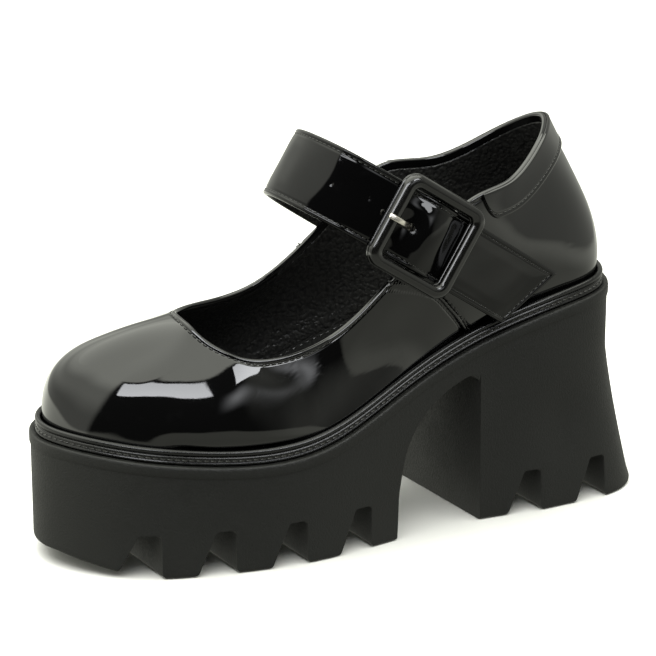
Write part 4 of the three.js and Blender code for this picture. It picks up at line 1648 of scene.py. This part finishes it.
@dataclass(frozen=True)
class StrapPath:
    """Centre, faces and buckle axes of the strap in its sloping plane."""

    form: FootForm
    width: float = 29.3
    thickness: float = 2.4
    pitch: float = 33.6
    tail_slant: float = 0.464
    swell: float = 2.8
    ease: float = 0.5
    buckle_run: float = 0.6864
    opening: float = 29.2
    origin: tuple[float, float, float] = (-0.033, 0.4, 1.514)

    @cached_property
    def down(self) -> Points:
        """Direction down the strap's plane."""
        angle = math.radians(self.pitch)
        return np.array([0.0, math.cos(angle), -math.sin(angle)])

    @cached_property
    def up(self) -> Points:
        """Direction across the strap's width."""
        angle = math.radians(self.pitch)
        return np.array([0.0, math.sin(angle), math.cos(angle)])

    @cached_property
    def middle(self) -> Points:
        """Middle of the strap where it crosses the instep."""
        y = self.origin[1] * self.form.last_length
        z = float(self.form.footbed(np.array(y))) + self.origin[2] * self.form.collar_height
        return np.array([self.origin[0] * self.form.ball_width, y, z])

    @cached_property
    def columns(self) -> tuple[OpenSpline, OpenSpline, OpenSpline]:
        """Run, lower edge and upper edge along the strap."""
        rows = np.arange(len(STRAP_ROWS))
        return tuple(OpenSpline(rows, STRAP_ROWS[:, k]) for k in range(3))

    def face(self, place: Points, share: Points) -> Points:
        """Point of the outer face.

        Args:
            place: Row places along the strap.
            share: Shares of the width, from below.

        Returns:
            Points in part millimetres.
        """
        run, low, high = (column(place) for column in self.columns)
        across = (low * (1.0 - share) + high * share) * self.form.ball_width
        point = self.middle + across[..., None] * np.array([1.0, 0.0, 0.0])
        point = point + (run * self.form.collar_height)[..., None] * self.down
        return point + ((share - 0.5) * self.width)[..., None] * self.up

    def normal(self, place: Points, share: Points) -> Points:
        """Direction out of the strap's face."""
        ahead = self.face(place + 0.05, share) - self.face(place - 0.05, share)
        return unit(np.cross(ahead, self.up))

    @cached_property
    def buckle_place(self) -> float:
        """Row place of the buckle's middle."""
        places = np.linspace(STRAP_TOP, STRAP_END, 4001)
        return float(np.interp(self.buckle_run, self.columns[0](places), places))

    @cached_property
    def buckle_axes(self) -> tuple[Points, Points, Points]:
        """Middle of the buckle, and its directions along the strap and outward."""
        place, half = np.array(self.buckle_place), np.array(0.5)
        out = self.normal(place, half)
        return self.face(place, half), unit(np.cross(self.up, out)), out

    def in_buckle(self, along: Points, up: Points, out: Points) -> Points:
        """Point near the buckle.

        Args:
            along: Distances along the strap from the buckle's middle.
            up: Distances up its width.
            out: Distances out of its face.

        Returns:
            Points in part millimetres.
        """
        centre, way, outward = self.buckle_axes
        columns = (np.asarray(v, float)[..., None] for v in (along, up, out))
        along, up, out = np.broadcast_arrays(*columns)
        return centre + way * along + self.up * up + outward * out

    def away(self, points: Points) -> Points:
        """Distance along the strap from the buckle's middle."""
        centre, way, _ = self.buckle_axes
        return (points - centre) @ way

    def point(self, place: Points, share: Points, depth: Points) -> Points:
        """Point of the strap, swollen in the frame.

        Args:
            place: Row places along the strap.
            share: Shares of the width, from below.
            depth: Depths under the outer face.

        Returns:
            Points in part millimetres.
        """
        slant = smoothstep(place, STRAP_END - 2.0, STRAP_END)
        skew = (share - 0.5) * self.tail_slant * slant * self.width
        face = self.face(place, share) + skew[..., None] * self.down
        away = self.away(face)
        reach = self.opening / 2.0 - 2.0 * self.ease
        inside = (place > STRAP_TOP) & (np.abs(away) < reach)
        swell = np.where(inside, self.swell * np.cos(np.pi * away / (2.0 * reach)) ** 2, 0.0)
        return face + self.normal(place, share) * (swell - depth)[..., None]


@dataclass
class Strap:
    """One wide patent strap with turned edges, stitches and small punched holes."""

    path: StrapPath
    seat: Seat
    wardrobe: Wardrobe
    hole_place: float = -9.8
    hole_length: float = 6.4
    hole_width: float = 3.2
    stitch_inset: float = 2.0
    corner: float = 0.85
    sections: int = 470
    roll: float = 0.14
    roll_place: float = 8.9
    crown: float = 1.4
    pull_ring: float = 0.6
    mm_per_place: float = 9.0
    spare_holes: tuple[tuple[float, float], ...] = ((-29.1, 2.0), (-43.3, 0.0))

    def section(self) -> tuple[Points, Points, Points]:
        """Distance from the lower edge, depth, and 1 on the outer face, round a section."""
        width, thick, r = self.path.width, self.path.thickness, self.corner
        arc = [(math.sin(a), math.cos(a)) for a in np.linspace(0.0, math.pi / 2.0, 5)]
        low = [(r - r * s, r - r * c) for s, c in reversed(arc)]
        outer = [(v, 0.0) for v in np.linspace(r, width - r, 44)[1:-1]]
        high = [(width - r + r * s, r - r * c) for s, c in arc]
        down_high = [(width - r + r * c, thick - r + r * s) for s, c in arc]
        inner = [(v, thick) for v in np.linspace(width - r, r, 12)[1:-1]]
        down_low = [(r - r * c, thick - r + r * s) for s, c in reversed(arc)]
        spots = np.array(low + outer + high + down_high + inner + down_low)
        return spots[:, 0], spots[:, 1], (spots[:, 1] < 0.35).astype(float)

    def relief(self, place: Points, across: Points) -> Points:
        """How far the outer face stands out of its plain form.

        Args:
            place: Row places along the strap.
            across: Distances from the lower edge.

        Returns:
            A distance for each point.
        """
        width = self.path.width
        from_end = (STRAP_END - place) * self.mm_per_place
        edge = np.minimum(np.minimum(across, width - across), np.maximum(from_end, 0.0))
        groove = -0.34 * hump(edge - self.stitch_inset, 0.42)
        turned = 0.16 * hump(edge - 1.05, 0.6)
        puff = 0.2 * smoothstep(edge, 2.4, 7.5)
        away = self.path.away(self.path.face(place, across / width))
        up = across - width / 2.0
        inside = place > STRAP_TOP
        pull = np.hypot(away - self.hole_place - 0.5, up * 0.9)
        above = 0.3 + 0.7 * smoothstep(up, -5.0, 3.0)
        dent = (-0.75 * hump(pull, 4.6) + self.pull_ring * hump(pull - 7.0, 3.2)) * above
        dent = np.where(inside, dent, 0.0)
        crown = self.crown * hump(away, 9.0) * (1.0 - (2.0 * up / width) ** 2)
        dent += np.where(inside, crown, 0.0)
        holes = sum(
            -0.35 * hump(np.hypot(away - run, up - rise), 0.5) for run, rise in self.spare_holes
        )
        wave = 0.06 * np.sin(place * 2.1 + up / 6.0) + 0.03 * np.sin(place * 4.3 - up / 4.0 + 1.0)
        side = 0.4 * hump(away - 4.0, 5.0) * np.sin(up / 4.6 + 0.7)
        plain = groove + turned + puff + dent + np.where(inside, side, 0.0)
        return plain + np.where(inside, holes, 0.0) + wave * smoothstep(edge, 1.0, 6.0)

    def twist(self, place: Points, across: Points) -> Points:
        """How far both faces swing out where the strap rolls over the instep."""
        return self.roll * (across - self.path.width / 2.0) * hump(place - self.roll_place, 1.1)

    def build(self) -> list[Object]:
        """The strap with its prong hole, and its stitches."""
        path = self.path
        across, depth, on_face = self.section()
        ends = np.array([0.0, 0.012, 0.035, 0.075])
        body = np.linspace(0.14, STRAP_END - 0.14, self.sections)
        place = np.concatenate([ends, body, STRAP_END - ends[::-1]])
        from_end = np.minimum(place, STRAP_END - place) * self.mm_per_place
        flat = 1.0 - np.clip(from_end / self.corner, 0.0, 1.0)
        squeeze = 0.3 + 0.7 * np.sqrt(np.clip(1.0 - flat**2, 0.0, 1.0))
        grid_place = place[:, None].repeat(len(across), 1)
        grid_across = across[None].repeat(len(place), 0)
        middle = path.thickness / 2.0
        grid_depth = middle + (depth[None] - middle) * squeeze[:, None]
        out = self.relief(grid_place, grid_across) * on_face[None]
        swing = self.twist(grid_place, grid_across)
        points = path.point(grid_place, grid_across / path.width, grid_depth - out - swing)
        parts = MeshParts(self.seat)
        lining = np.tile(np.where(depth > path.thickness - 0.2, 1, 0), len(place) - 1)
        parts.add(points, grid_quads(len(place), len(across), wrap_columns=True), lining)
        parts.cap_tubes(len(across), len(place))
        mesh = carved(parts.mesh("strap_plain"), self.slot().mesh("slot_cutter"))
        finishes = [self.wardrobe.strap_patent, self.wardrobe.lining]
        strap = place_piece("patent_strap", mesh, finishes, "strap", 60.0)
        return [strap, self.stitches()]

    def slot(self) -> MeshParts:
        """Prism through the strap where the prong's slot is cut."""
        turns = np.linspace(0.0, FULL_TURN, 32, endpoint=False)
        radius = self.hole_width / 2.0
        half = self.hole_length / 2.0 - radius
        along = self.hole_place + np.sign(np.cos(turns)) * half + np.cos(turns) * radius
        up = np.sin(turns) * radius
        rings = [self.path.in_buckle(along, up, np.full(len(turns), h)) for h in (-8.0, 8.0)]
        parts = MeshParts(self.seat)
        parts.add(np.stack(rings), grid_quads(2, len(turns), wrap_columns=True))
        parts.cap_tubes(len(turns), 2)
        return parts

    def stitches(self) -> Object:
        """Stitches along both edges and across both ends."""
        inset, width = self.stitch_inset, self.path.width
        start = inset / self.mm_per_place
        stop = STRAP_END - start
        parts = MeshParts(self.seat)
        row = StitchRow(pitch=2.45, length=1.85, radius=0.25)
        lines = [(np.linspace(start, stop, 900), np.full(900, v)) for v in (inset, width - inset)]
        lines += [(np.full(160, p), np.linspace(inset, width - inset, 160)) for p in (stop, start)]
        for place, across in lines:
            depth = -self.relief(place, across) - self.twist(place, across) - 0.02
            line = self.path.point(place, across / width, depth)
            row.lay(parts, line, self.path.normal(place, across / width))
        return parts.place("strap_stitching", self.wardrobe.thread, Slot.PATENT_STRAP)


@dataclass
class Buckle:
    """Square gloss frame with round bars, its hidden axle, and the steel prong."""

    path: StrapPath
    seat: Seat
    wardrobe: Wardrobe
    bar: float = 6.4
    length: float = 42.0
    height: float = 40.8
    thickness: float = 3.8
    corner: float = 6.8
    inner_corner: float = 2.2
    axle_radius: float = 0.8
    eye_wall: float = 0.8
    prong_width: float = 2.3
    prong_thickness: float = 1.7
    prong_length: float = 26.0
    prong_lean: float = 0.14
    clearance: float = 0.3
    hole_place: float = -9.8

    @property
    def axle_depth(self) -> float:
        """Height of the axle's middle over the strap's plain face."""
        path = self.path
        eye = path.swell - path.thickness - self.clearance - self.eye_wall
        return eye - self.clearance - self.axle_radius

    def loop(self, spread: float, out: float) -> Points:
        """Rounded rectangle in the bars.

        Args:
            spread: -1 at the opening, 1 at the outside.
            out: Height over the frame's underside.

        Returns:
            Points in part millimetres.
        """
        share = (spread + 1.0) / 2.0
        opening_up = self.path.width + 2.0 * self.clearance
        half_along = (self.path.opening * (1.0 - share) + self.length * share) / 2.0
        half_up = (opening_up * (1.0 - share) + self.height * share) / 2.0
        radius = self.inner_corner * (1.0 - share) + self.corner * share
        middle = np.array([half_along - radius, half_up - radius])
        signs = np.array([(1, 1), (-1, 1), (-1, -1), (1, -1)])
        points = []
        for quarter in range(4):
            turns = (quarter + np.arange(17) / 16.0) * math.pi / 2.0
            ways = np.stack([np.cos(turns), np.sin(turns)], axis=1)
            arc = signs[quarter] * middle + radius * ways
            stop = signs[(quarter + 1) % 4] * middle + (arc[-1] - signs[quarter] * middle)
            t = (np.arange(1, 12) / 12.0)[:, None]
            points += [arc, arc[-1] * (1.0 - t) + stop * t]
        flat = np.concatenate(points)
        return self.path.in_buckle(flat[:, 0], flat[:, 1], np.full(len(flat), self.clearance + out))

    def build_frame(self) -> Object:
        """The frame with its moulded lip, and the axle under the strap."""
        path, r, axle = self.path, self.axle_radius, self.axle_depth
        profile = [(-1.0, 0.0), (1.0, 0.0), (1.0, 0.5), (0.985, 0.85), (0.93, 1.0), (0.9, 1.05)]
        for a in np.linspace(0.0, math.pi, 22):
            swell = (self.thickness - 1.1) * math.sin(a) ** 0.75
            profile.append((0.9 * math.cos(a) - 0.04 * math.sin(a), 1.1 + swell))
        profile += [(-0.96, 0.95), (-1.0, 0.6)]
        loops = np.stack([self.loop(spread, out) for spread, out in profile])
        parts = MeshParts(self.seat)
        parts.add(loops, grid_quads(*loops.shape[:2], wrap_rows=True, wrap_columns=True))
        post = path.width / 2.0 + self.clearance + r
        turns = np.linspace(0.0, FULL_TURN, 20, endpoint=False)
        around, rise = np.cos(turns), np.sin(turns)
        rings = np.linspace(-post, post, 12)
        rod = np.stack([path.in_buckle(r * around, up, axle + r * rise) for up in rings])
        parts.add(rod, grid_quads(len(rings), len(turns), wrap_columns=True))
        size = r * 0.98
        levels = np.linspace(axle - size, self.clearance + 0.6, 5)
        for end in (-post, post):
            column = np.stack([path.in_buckle(size * around, end + size * rise, h) for h in levels])
            parts.add(column, grid_quads(len(levels), len(turns), wrap_columns=True))
        finish = self.wardrobe.buckle
        return parts.place("gloss_frame", finish, Slot.GLOSS_BUCKLE, "buckle_frame", 40.0)

    def build_prong(self) -> Object:
        """The prong: an eye round the axle and a flat-topped blade over the bar."""
        axle, hole = self.axle_depth, self.hole_place
        rest = 2.0 * self.clearance + self.thickness + self.prong_thickness / 2.0
        bar = -(self.length - self.bar) / 2.0
        knots = np.array([
            (-1.5, axle - 0.1), (-4.5, axle - 0.3), (hole + 2.6, axle - 0.4),
            (hole + 0.1, axle + 1.6), (hole - 2.4, axle + 4.8), (bar + 2.2, rest - 0.15),
            (bar, rest), (bar - 1.6, rest - 0.2), (bar - self.bar / 2.0 - 0.3, rest - 0.7),
        ])
        steps = np.linalg.norm(np.diff(knots, axis=0), axis=1) ** 0.5
        walked = np.concatenate([[0.0], np.cumsum(steps)])
        spots = np.linspace(0.0, walked[-1], 90)
        line = np.stack([OpenSpline(walked, knots[:, k])(spots) for k in range(2)], axis=1)
        way = unit(np.gradient(line, axis=0))
        turns = np.linspace(0.0, FULL_TURN, 28, endpoint=False)
        across, up = np.cos(turns), np.sin(turns)
        wide = np.sign(across) * np.abs(across) ** 0.45 * self.prong_width / 2.0
        high = np.sign(up) * np.abs(up) ** 0.55 * self.prong_thickness / 2.0
        from_tip = (1.0 - np.linspace(0.0, 1.0, len(spots))) * self.prong_length
        flat = 1.0 - np.clip(from_tip / 0.7, 0.0, 1.0)
        thin = np.sqrt(np.clip(1.0 - flat**2, 0.06, 1.0))[:, None]
        along = line[:, :1] - way[:, 1:] * high[None] * thin
        out = line[:, 1:] + way[:, :1] * high[None] * thin
        wide = wide[None] * thin
        blade = self.path.in_buckle(along, wide, out - self.prong_lean * wide)
        parts = MeshParts(self.seat)
        parts.add(blade, grid_quads(len(spots), len(turns), wrap_columns=True))
        parts.cap_tubes(len(turns), len(spots))
        bore, half = self.axle_radius + self.clearance, self.prong_width / 2.0
        ring = np.linspace(0.0, FULL_TURN, 40, endpoint=False)
        shell = bore + self.eye_wall
        section = [(bore, -half), (shell, -half), (shell, half), (bore, half)]
        eye = np.stack([
            self.path.in_buckle(r * np.cos(ring), up, axle + r * np.sin(ring)) for r, up in section
        ])
        parts.add(eye, grid_quads(4, len(ring), wrap_rows=True, wrap_columns=True))
        finish = self.wardrobe.steel
        return parts.place("steel_prong", finish, Slot.BRIGHT_STEEL, "buckle_prong", 40.0)


# Studio


def place_stage(
    name: str, mesh: Mesh, material: bpy.types.Material, unseen: Sequence[str]
) -> Object:
    """Put a mesh in the studio that isn't part of the shoe.

    Args:
        name: Its name.
        mesh: Its mesh, in metres.
        material: Its only material.
        unseen: Kinds of rays that don't see it.

    Returns:
        The new object.
    """
    mesh.materials.append(material)
    thing = add_object(name, mesh)
    for kind in unseen:
        setattr(thing, "visible_" + kind, False)
    return thing


def disc_mesh(name: str, radius: float, height: float) -> Mesh:
    """Flat round mesh about the origin.

    Args:
        name: Name of the mesh.
        radius: Its radius, in metres.
        height: Its height over the ground.

    Returns:
        The new mesh.
    """
    mesh = bpy.data.meshes.new(name)
    turns = np.linspace(0.0, FULL_TURN, 96, endpoint=False)
    rim = [(radius * math.cos(a), radius * math.sin(a), height) for a in turns]
    mesh.from_pydata(rim, [], [list(range(len(rim)))])
    return mesh


@dataclass(frozen=True)
class Panel:
    """A soft light panel that faces the shoe and isn't seen in its gloss."""

    name: str
    azimuth: float
    elevation: float
    distance: float
    width: float
    height: float
    luminance: float

    def build(self) -> None:
        """Area light of the panel's size."""
        data = bpy.data.lights.new(self.name, "AREA")
        data.shape = "RECTANGLE"
        data.size, data.size_y = self.width, self.height
        data.energy = 4.0 * self.width * self.height * self.luminance
        light = add_object(self.name, data)
        place = Studio.direction(self.azimuth, self.elevation) * self.distance
        light.matrix_world = Studio.facing(self.azimuth, self.elevation, place)
        light.visible_glossy = False


@dataclass(frozen=True)
class GlowCard:
    """A lit diffuser that only the shoe's gloss sees: a window in azimuth and elevation."""

    name: str
    azimuths: tuple[float, float]
    elevations: tuple[float, float]
    luminance_low: float
    luminance_high: float
    distance: float = 1.3
    centre: tuple[float, float, float] = (0.02, -0.09, 0.075)
    slant: float = 0.0
    softness: float = 0.03
    rows: int = 9
    columns: int = 25

    def material(self) -> bpy.types.Material:
        """Glow with a gradient from the lower to the upper edge, and soft rims."""
        material = bpy.data.materials.new(self.name + "_diffuser_cloth")
        tree = empty_tree(material)
        spread = add_node(tree, "ShaderNodeTexCoord").outputs["UV"]
        shares = add_node(tree, "ShaderNodeSeparateXYZ", {0: spread}).outputs
        glow = add_node(tree, "ShaderNodeMapRange", {
            "Value": shares[1], "To Min": self.luminance_low, "To Max": self.luminance_high,
        })
        for share in shares[:2]:
            other = add_node(tree, "ShaderNodeMath", {0: 1.0, 1: share}, operation="SUBTRACT")
            inset = add_node(tree, "ShaderNodeMath", {0: share, 1: other}, operation="MINIMUM")
            fade = add_node(tree, "ShaderNodeMapRange", {
                "Value": inset, "From Max": self.softness,
            }, interpolation_type="SMOOTHSTEP")
            glow = add_node(tree, "ShaderNodeMath", {0: glow, 1: fade}, operation="MULTIPLY")
        add_fading_glow(tree, "#f6f8fb", glow)
        return material

    def build(self) -> None:
        """Curved card round the shoe, with its shares across and up as UV."""
        points = []
        for k in np.linspace(0.0, 1.0, self.rows):
            elevation = self.elevations[0] + (self.elevations[1] - self.elevations[0]) * k
            for a in np.linspace(self.azimuths[0], self.azimuths[1] - self.slant * k, self.columns):
                points.append((Studio.direction(a, elevation) * self.distance).tolist())
        mesh = bpy.data.meshes.new(self.name)
        mesh.from_pydata(points, [], grid_quads(self.rows, self.columns).tolist())
        layer = mesh.uv_layers.new(name="spread")
        for corner in mesh.loops:
            row, column = divmod(corner.vertex_index, self.columns)
            layer.data[corner.index].uv = (column / (self.columns - 1), row / (self.rows - 1))
        card = place_stage(self.name, mesh, self.material(), Studio.ONLY_GLOSS)
        card.location = self.centre


@dataclass
class Studio:
    """Pale floor, soft panels, a tent that is dark on the viewer's side, and the camera."""

    ONLY_GLOSS: ClassVar[Sequence[str]] = (
        "camera", "diffuse", "shadow", "transmission", "volume_scatter",
    )
    azimuth: float = 59.0
    elevation: float = 19.5
    distance: float = 1.2
    target: tuple[float, float, float] = (0.016, -0.01485, 0.06)
    focal_mm: float = 161.34
    sensor_mm: float = 36.0
    drop_share: float = 62.0 / 656.0
    floor_radius: float = 7.0
    floor_height: float = -0.0002
    roller_mm: float = 1.4
    roller_depth_mm: float = 0.02
    tent_from: float = -112.0
    dark_from: float = 12.5
    dark_lean: float = 12.0
    dark_to: float = 116.0
    ceiling_from: float = 48.5
    tent_glow: tuple[float, float, float] = (0.65, 1.25, 1.1)
    ceiling_glow: tuple[float, float] = (2.9, 2.1)
    table_radius: float = 1.1
    table_fade: float = 0.55
    table_height: float = -0.0004
    table_azimuth: float = -60.0
    table_glow: tuple[float, float] = (1.3, 0.45)
    back_glow: float = 0.45
    dark_glow: float = 0.03
    ground_share: float = 0.15
    panels: tuple[Panel, ...] = (
        Panel("overhead_bank", 20.0, 80.0, 1.6, 2.4, 2.0, 1.6),
    )
    cards: tuple[GlowCard, ...] = (
        GlowCard("front_softbox", (22.0, 78.0), (31.0, 46.5), 8.4, 7.0, slant=6.0),
        GlowCard("side_softbox", (98.0, 124.0), (32.5, 47.0), 9.5, 7.5),
        GlowCard("side_bounce", (80.0, 122.0), (11.0, 31.0), 1.3, 2.4, softness=0.5),
    )

    @staticmethod
    def direction(azimuth: float, elevation: float) -> Points:
        """Unit direction from the shoe towards an azimuth and an elevation."""
        a, e = math.radians(azimuth), math.radians(elevation)
        return np.array([math.sin(a) * math.cos(e), -math.cos(a) * math.cos(e), math.sin(e)])

    @staticmethod
    def facing(azimuth: float, elevation: float, place: Points) -> Matrix:
        """Matrix of a camera or light that looks back along a direction.

        Args:
            azimuth: Azimuth of the direction, in degrees.
            elevation: Elevation of the direction, in degrees.
            place: Where the camera or light stands.

        Returns:
            Its world matrix.
        """
        back = Studio.direction(azimuth, elevation)
        right = unit(np.cross(UP, back))
        turn = np.eye(4)
        turn[:3, 0], turn[:3, 1], turn[:3, 2] = right, np.cross(back, right), back
        turn[:3, 3] = place
        return Matrix(turn.tolist())

    def build_camera(self) -> None:
        """Camera at the photograph's angle; a small shift keeps its framing."""
        data = bpy.data.cameras.new("photo_camera")
        data.lens, data.sensor_width = self.focal_mm, self.sensor_mm
        data.shift_y = self.drop_share
        data.clip_start, data.clip_end = 0.05, 60.0
        camera = add_object("photo_camera", data)
        place = np.array(self.target) + self.direction(self.azimuth, self.elevation) * self.distance
        camera.matrix_world = self.facing(self.azimuth, self.elevation, place)
        bpy.context.scene.camera = camera

    def build_floor(self) -> None:
        """Seamless pale floor of matt painted board, faintly textured by the roller."""
        board = bpy.data.materials.new("painted_board_matt_rolled")
        tree = empty_tree(board)
        where = add_node(tree, "ShaderNodeTexCoord").outputs["Object"]
        roller = add_node(tree, "ShaderNodeTexNoise", {
            "Vector": where, "Scale": per_metre(self.roller_mm), "Detail": 2.0,
        })
        bump = add_node(tree, "ShaderNodeBump", {
            "Height": roller, "Strength": 0.2, "Distance": self.roller_depth_mm * MM,
        })
        shader = add_node(tree, "ShaderNodeBsdfPrincipled", {
            "Base Color": linear("#f7f7f5"), "Roughness": 0.9, "Specular IOR Level": 0.2,
            "Normal": bump,
        })
        add_node(tree, "ShaderNodeOutputMaterial", {"Surface": shader})
        mesh = disc_mesh("floor", self.floor_radius, self.floor_height)
        place_stage("floor", mesh, board, ("glossy", "diffuse"))

    def build_table(self) -> None:
        """Glowing disc that only the gloss sees, a painted reflection of the lit table top:
        brighter to the front left, and no wider.
        """
        material = bpy.data.materials.new("table_glow_painted_reflection")
        tree = empty_tree(material)
        where = add_node(tree, "ShaderNodeTexCoord").outputs["Object"]
        way = tuple(float(v) for v in self.direction(self.table_azimuth, 0.0))
        along = add_node(tree, "ShaderNodeVectorMath", {0: where, 1: way}, operation="DOT_PRODUCT")
        # The glow paints the table's light: brighter towards the front left and fading at the rim.
        glow = add_node(tree, "ShaderNodeMapRange", {
            "Value": along.outputs["Value"], "From Min": 0.6, "From Max": -0.05,
            "To Min": self.table_glow[0], "To Max": self.table_glow[1],
        }, interpolation_type="SMOOTHSTEP")
        reach = add_node(tree, "ShaderNodeVectorMath", {0: where}, operation="LENGTH")
        fade = add_node(tree, "ShaderNodeMapRange", {
            "Value": reach.outputs["Value"], "From Min": self.table_fade * self.table_radius,
            "From Max": self.table_radius, "To Min": 1.0, "To Max": 0.0,
        }, interpolation_type="SMOOTHSTEP")
        glow = add_node(tree, "ShaderNodeMath", {0: glow, 1: fade}, operation="MULTIPLY")
        add_fading_glow(tree, "#f3f5e6", glow)
        mesh = disc_mesh("table", self.table_radius, self.table_height)
        place_stage("table", mesh, material, self.ONLY_GLOSS)

    def build_lights(self) -> None:
        """Panels for the matt surfaces, and glowing cards for the gloss."""
        for light in (*self.panels, *self.cards):
            light.build()

    def build_tent(self) -> None:
        """World: lit tent to the front left and above, dark towards the viewer."""
        world = bpy.data.worlds.new("light_tent")
        tree = empty_tree(world)
        where = add_node(tree, "ShaderNodeTexCoord").outputs["Generated"]
        axes = add_node(tree, "ShaderNodeSeparateXYZ", {0: where}).outputs
        front = add_node(tree, "ShaderNodeMath", {0: axes[1], 1: -1.0}, operation="MULTIPLY")
        turn = add_node(tree, "ShaderNodeMath", {0: axes[0], 1: front}, operation="ARCTAN2")
        leant = add_node(tree, "ShaderNodeMath", {
            0: axes[2], 1: -math.radians(self.dark_lean), 2: turn,
        }, operation="MULTIPLY_ADD")
        start, edge, far = (math.radians(a) for a in (self.tent_from, self.dark_from, self.dark_to))
        limit = math.sin(math.radians(self.ceiling_from))
        # Each fade: what it follows, where it starts and ends, and its values there.
        opening, shade, low, high, ceiling, bank, rear, side, ground = (
            add_node(tree, "ShaderNodeMapRange", {
                "Value": value, "From Min": first, "From Max": last, "To Min": dim, "To Max": lit,
            }, interpolation_type="SMOOTHSTEP")
            for value, first, last, dim, lit in (
                (turn, start - 0.2, start + 0.2, 0.0, 1.0),
                (leant, edge - 0.055, edge + 0.03, 1.0, 0.0),
                (axes[2], 0.08, 0.4, *self.tent_glow[:2]),
                (axes[2], 0.5, limit, 0.0, self.tent_glow[2]),
                (axes[2], limit - 0.01, limit + 0.012, 0.0, 1.0),
                (axes[0], -0.6, 0.5, *self.ceiling_glow),
                (turn, start - 0.2, start + 0.2, self.back_glow, 0.0),
                (turn, far - 0.3, far + 0.3, 0.0, self.back_glow),
                (axes[2], -0.42, -0.2, self.ground_share, 1.0),
            )
        )
        sky = add_node(tree, "ShaderNodeMath", {0: low, 1: high}, operation="ADD")
        top = add_node(tree, "ShaderNodeMath", {0: ceiling, 1: bank}, operation="MULTIPLY")
        for part, operation in (
            (shade, "MULTIPLY"), (opening, "MULTIPLY"), (top, "MAXIMUM"), (rear, "MAXIMUM"),
            (side, "MAXIMUM"), (self.dark_glow, "MAXIMUM"), (ground, "MULTIPLY"),
        ):
            sky = add_node(tree, "ShaderNodeMath", {0: sky, 1: part}, operation=operation)
        glow = add_node(tree, "ShaderNodeBackground", {"Color": linear("#fdfff3"), "Strength": sky})
        add_node(tree, "ShaderNodeOutputWorld", {"Surface": glow})
        bpy.context.scene.world = world
        bpy.context.scene.view_settings.view_transform = "Standard"
        bpy.context.scene.view_settings.look = "None"


def write_sizes() -> None:
    """Update the view layer."""
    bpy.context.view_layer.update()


def main() -> None:
    """Build every sub-assembly, then the studio."""
    logging.basicConfig(level=logging.INFO, format="%(name)s: %(message)s")
    form, wardrobe = FootForm(), Wardrobe()
    seat = SoleUnit(form, Seat((0.0, 0.0, 0.0)), wardrobe).seat_in_row()
    LOG.info("seat %s", seat.shift)
    studio = Studio()
    studio.build_camera()
    SoleUnit(form, seat, wardrobe).build()
    Welt(form, seat, wardrobe).build()
    upper = Upper(form, seat, wardrobe)
    upper.build_shell()
    upper.build_lining()
    upper.build_stitching()
    CollarStrip(form, seat, wardrobe).build()
    Insole(form, seat, wardrobe).build()
    path = StrapPath(form)
    Strap(path, seat, wardrobe).build()
    buckle = Buckle(path, seat, wardrobe)
    buckle.build_frame()
    buckle.build_prong()
    studio.build_floor()
    studio.build_table()
    studio.build_lights()
    studio.build_tent()
    write_sizes()


if __name__ == "__main__":
    main()
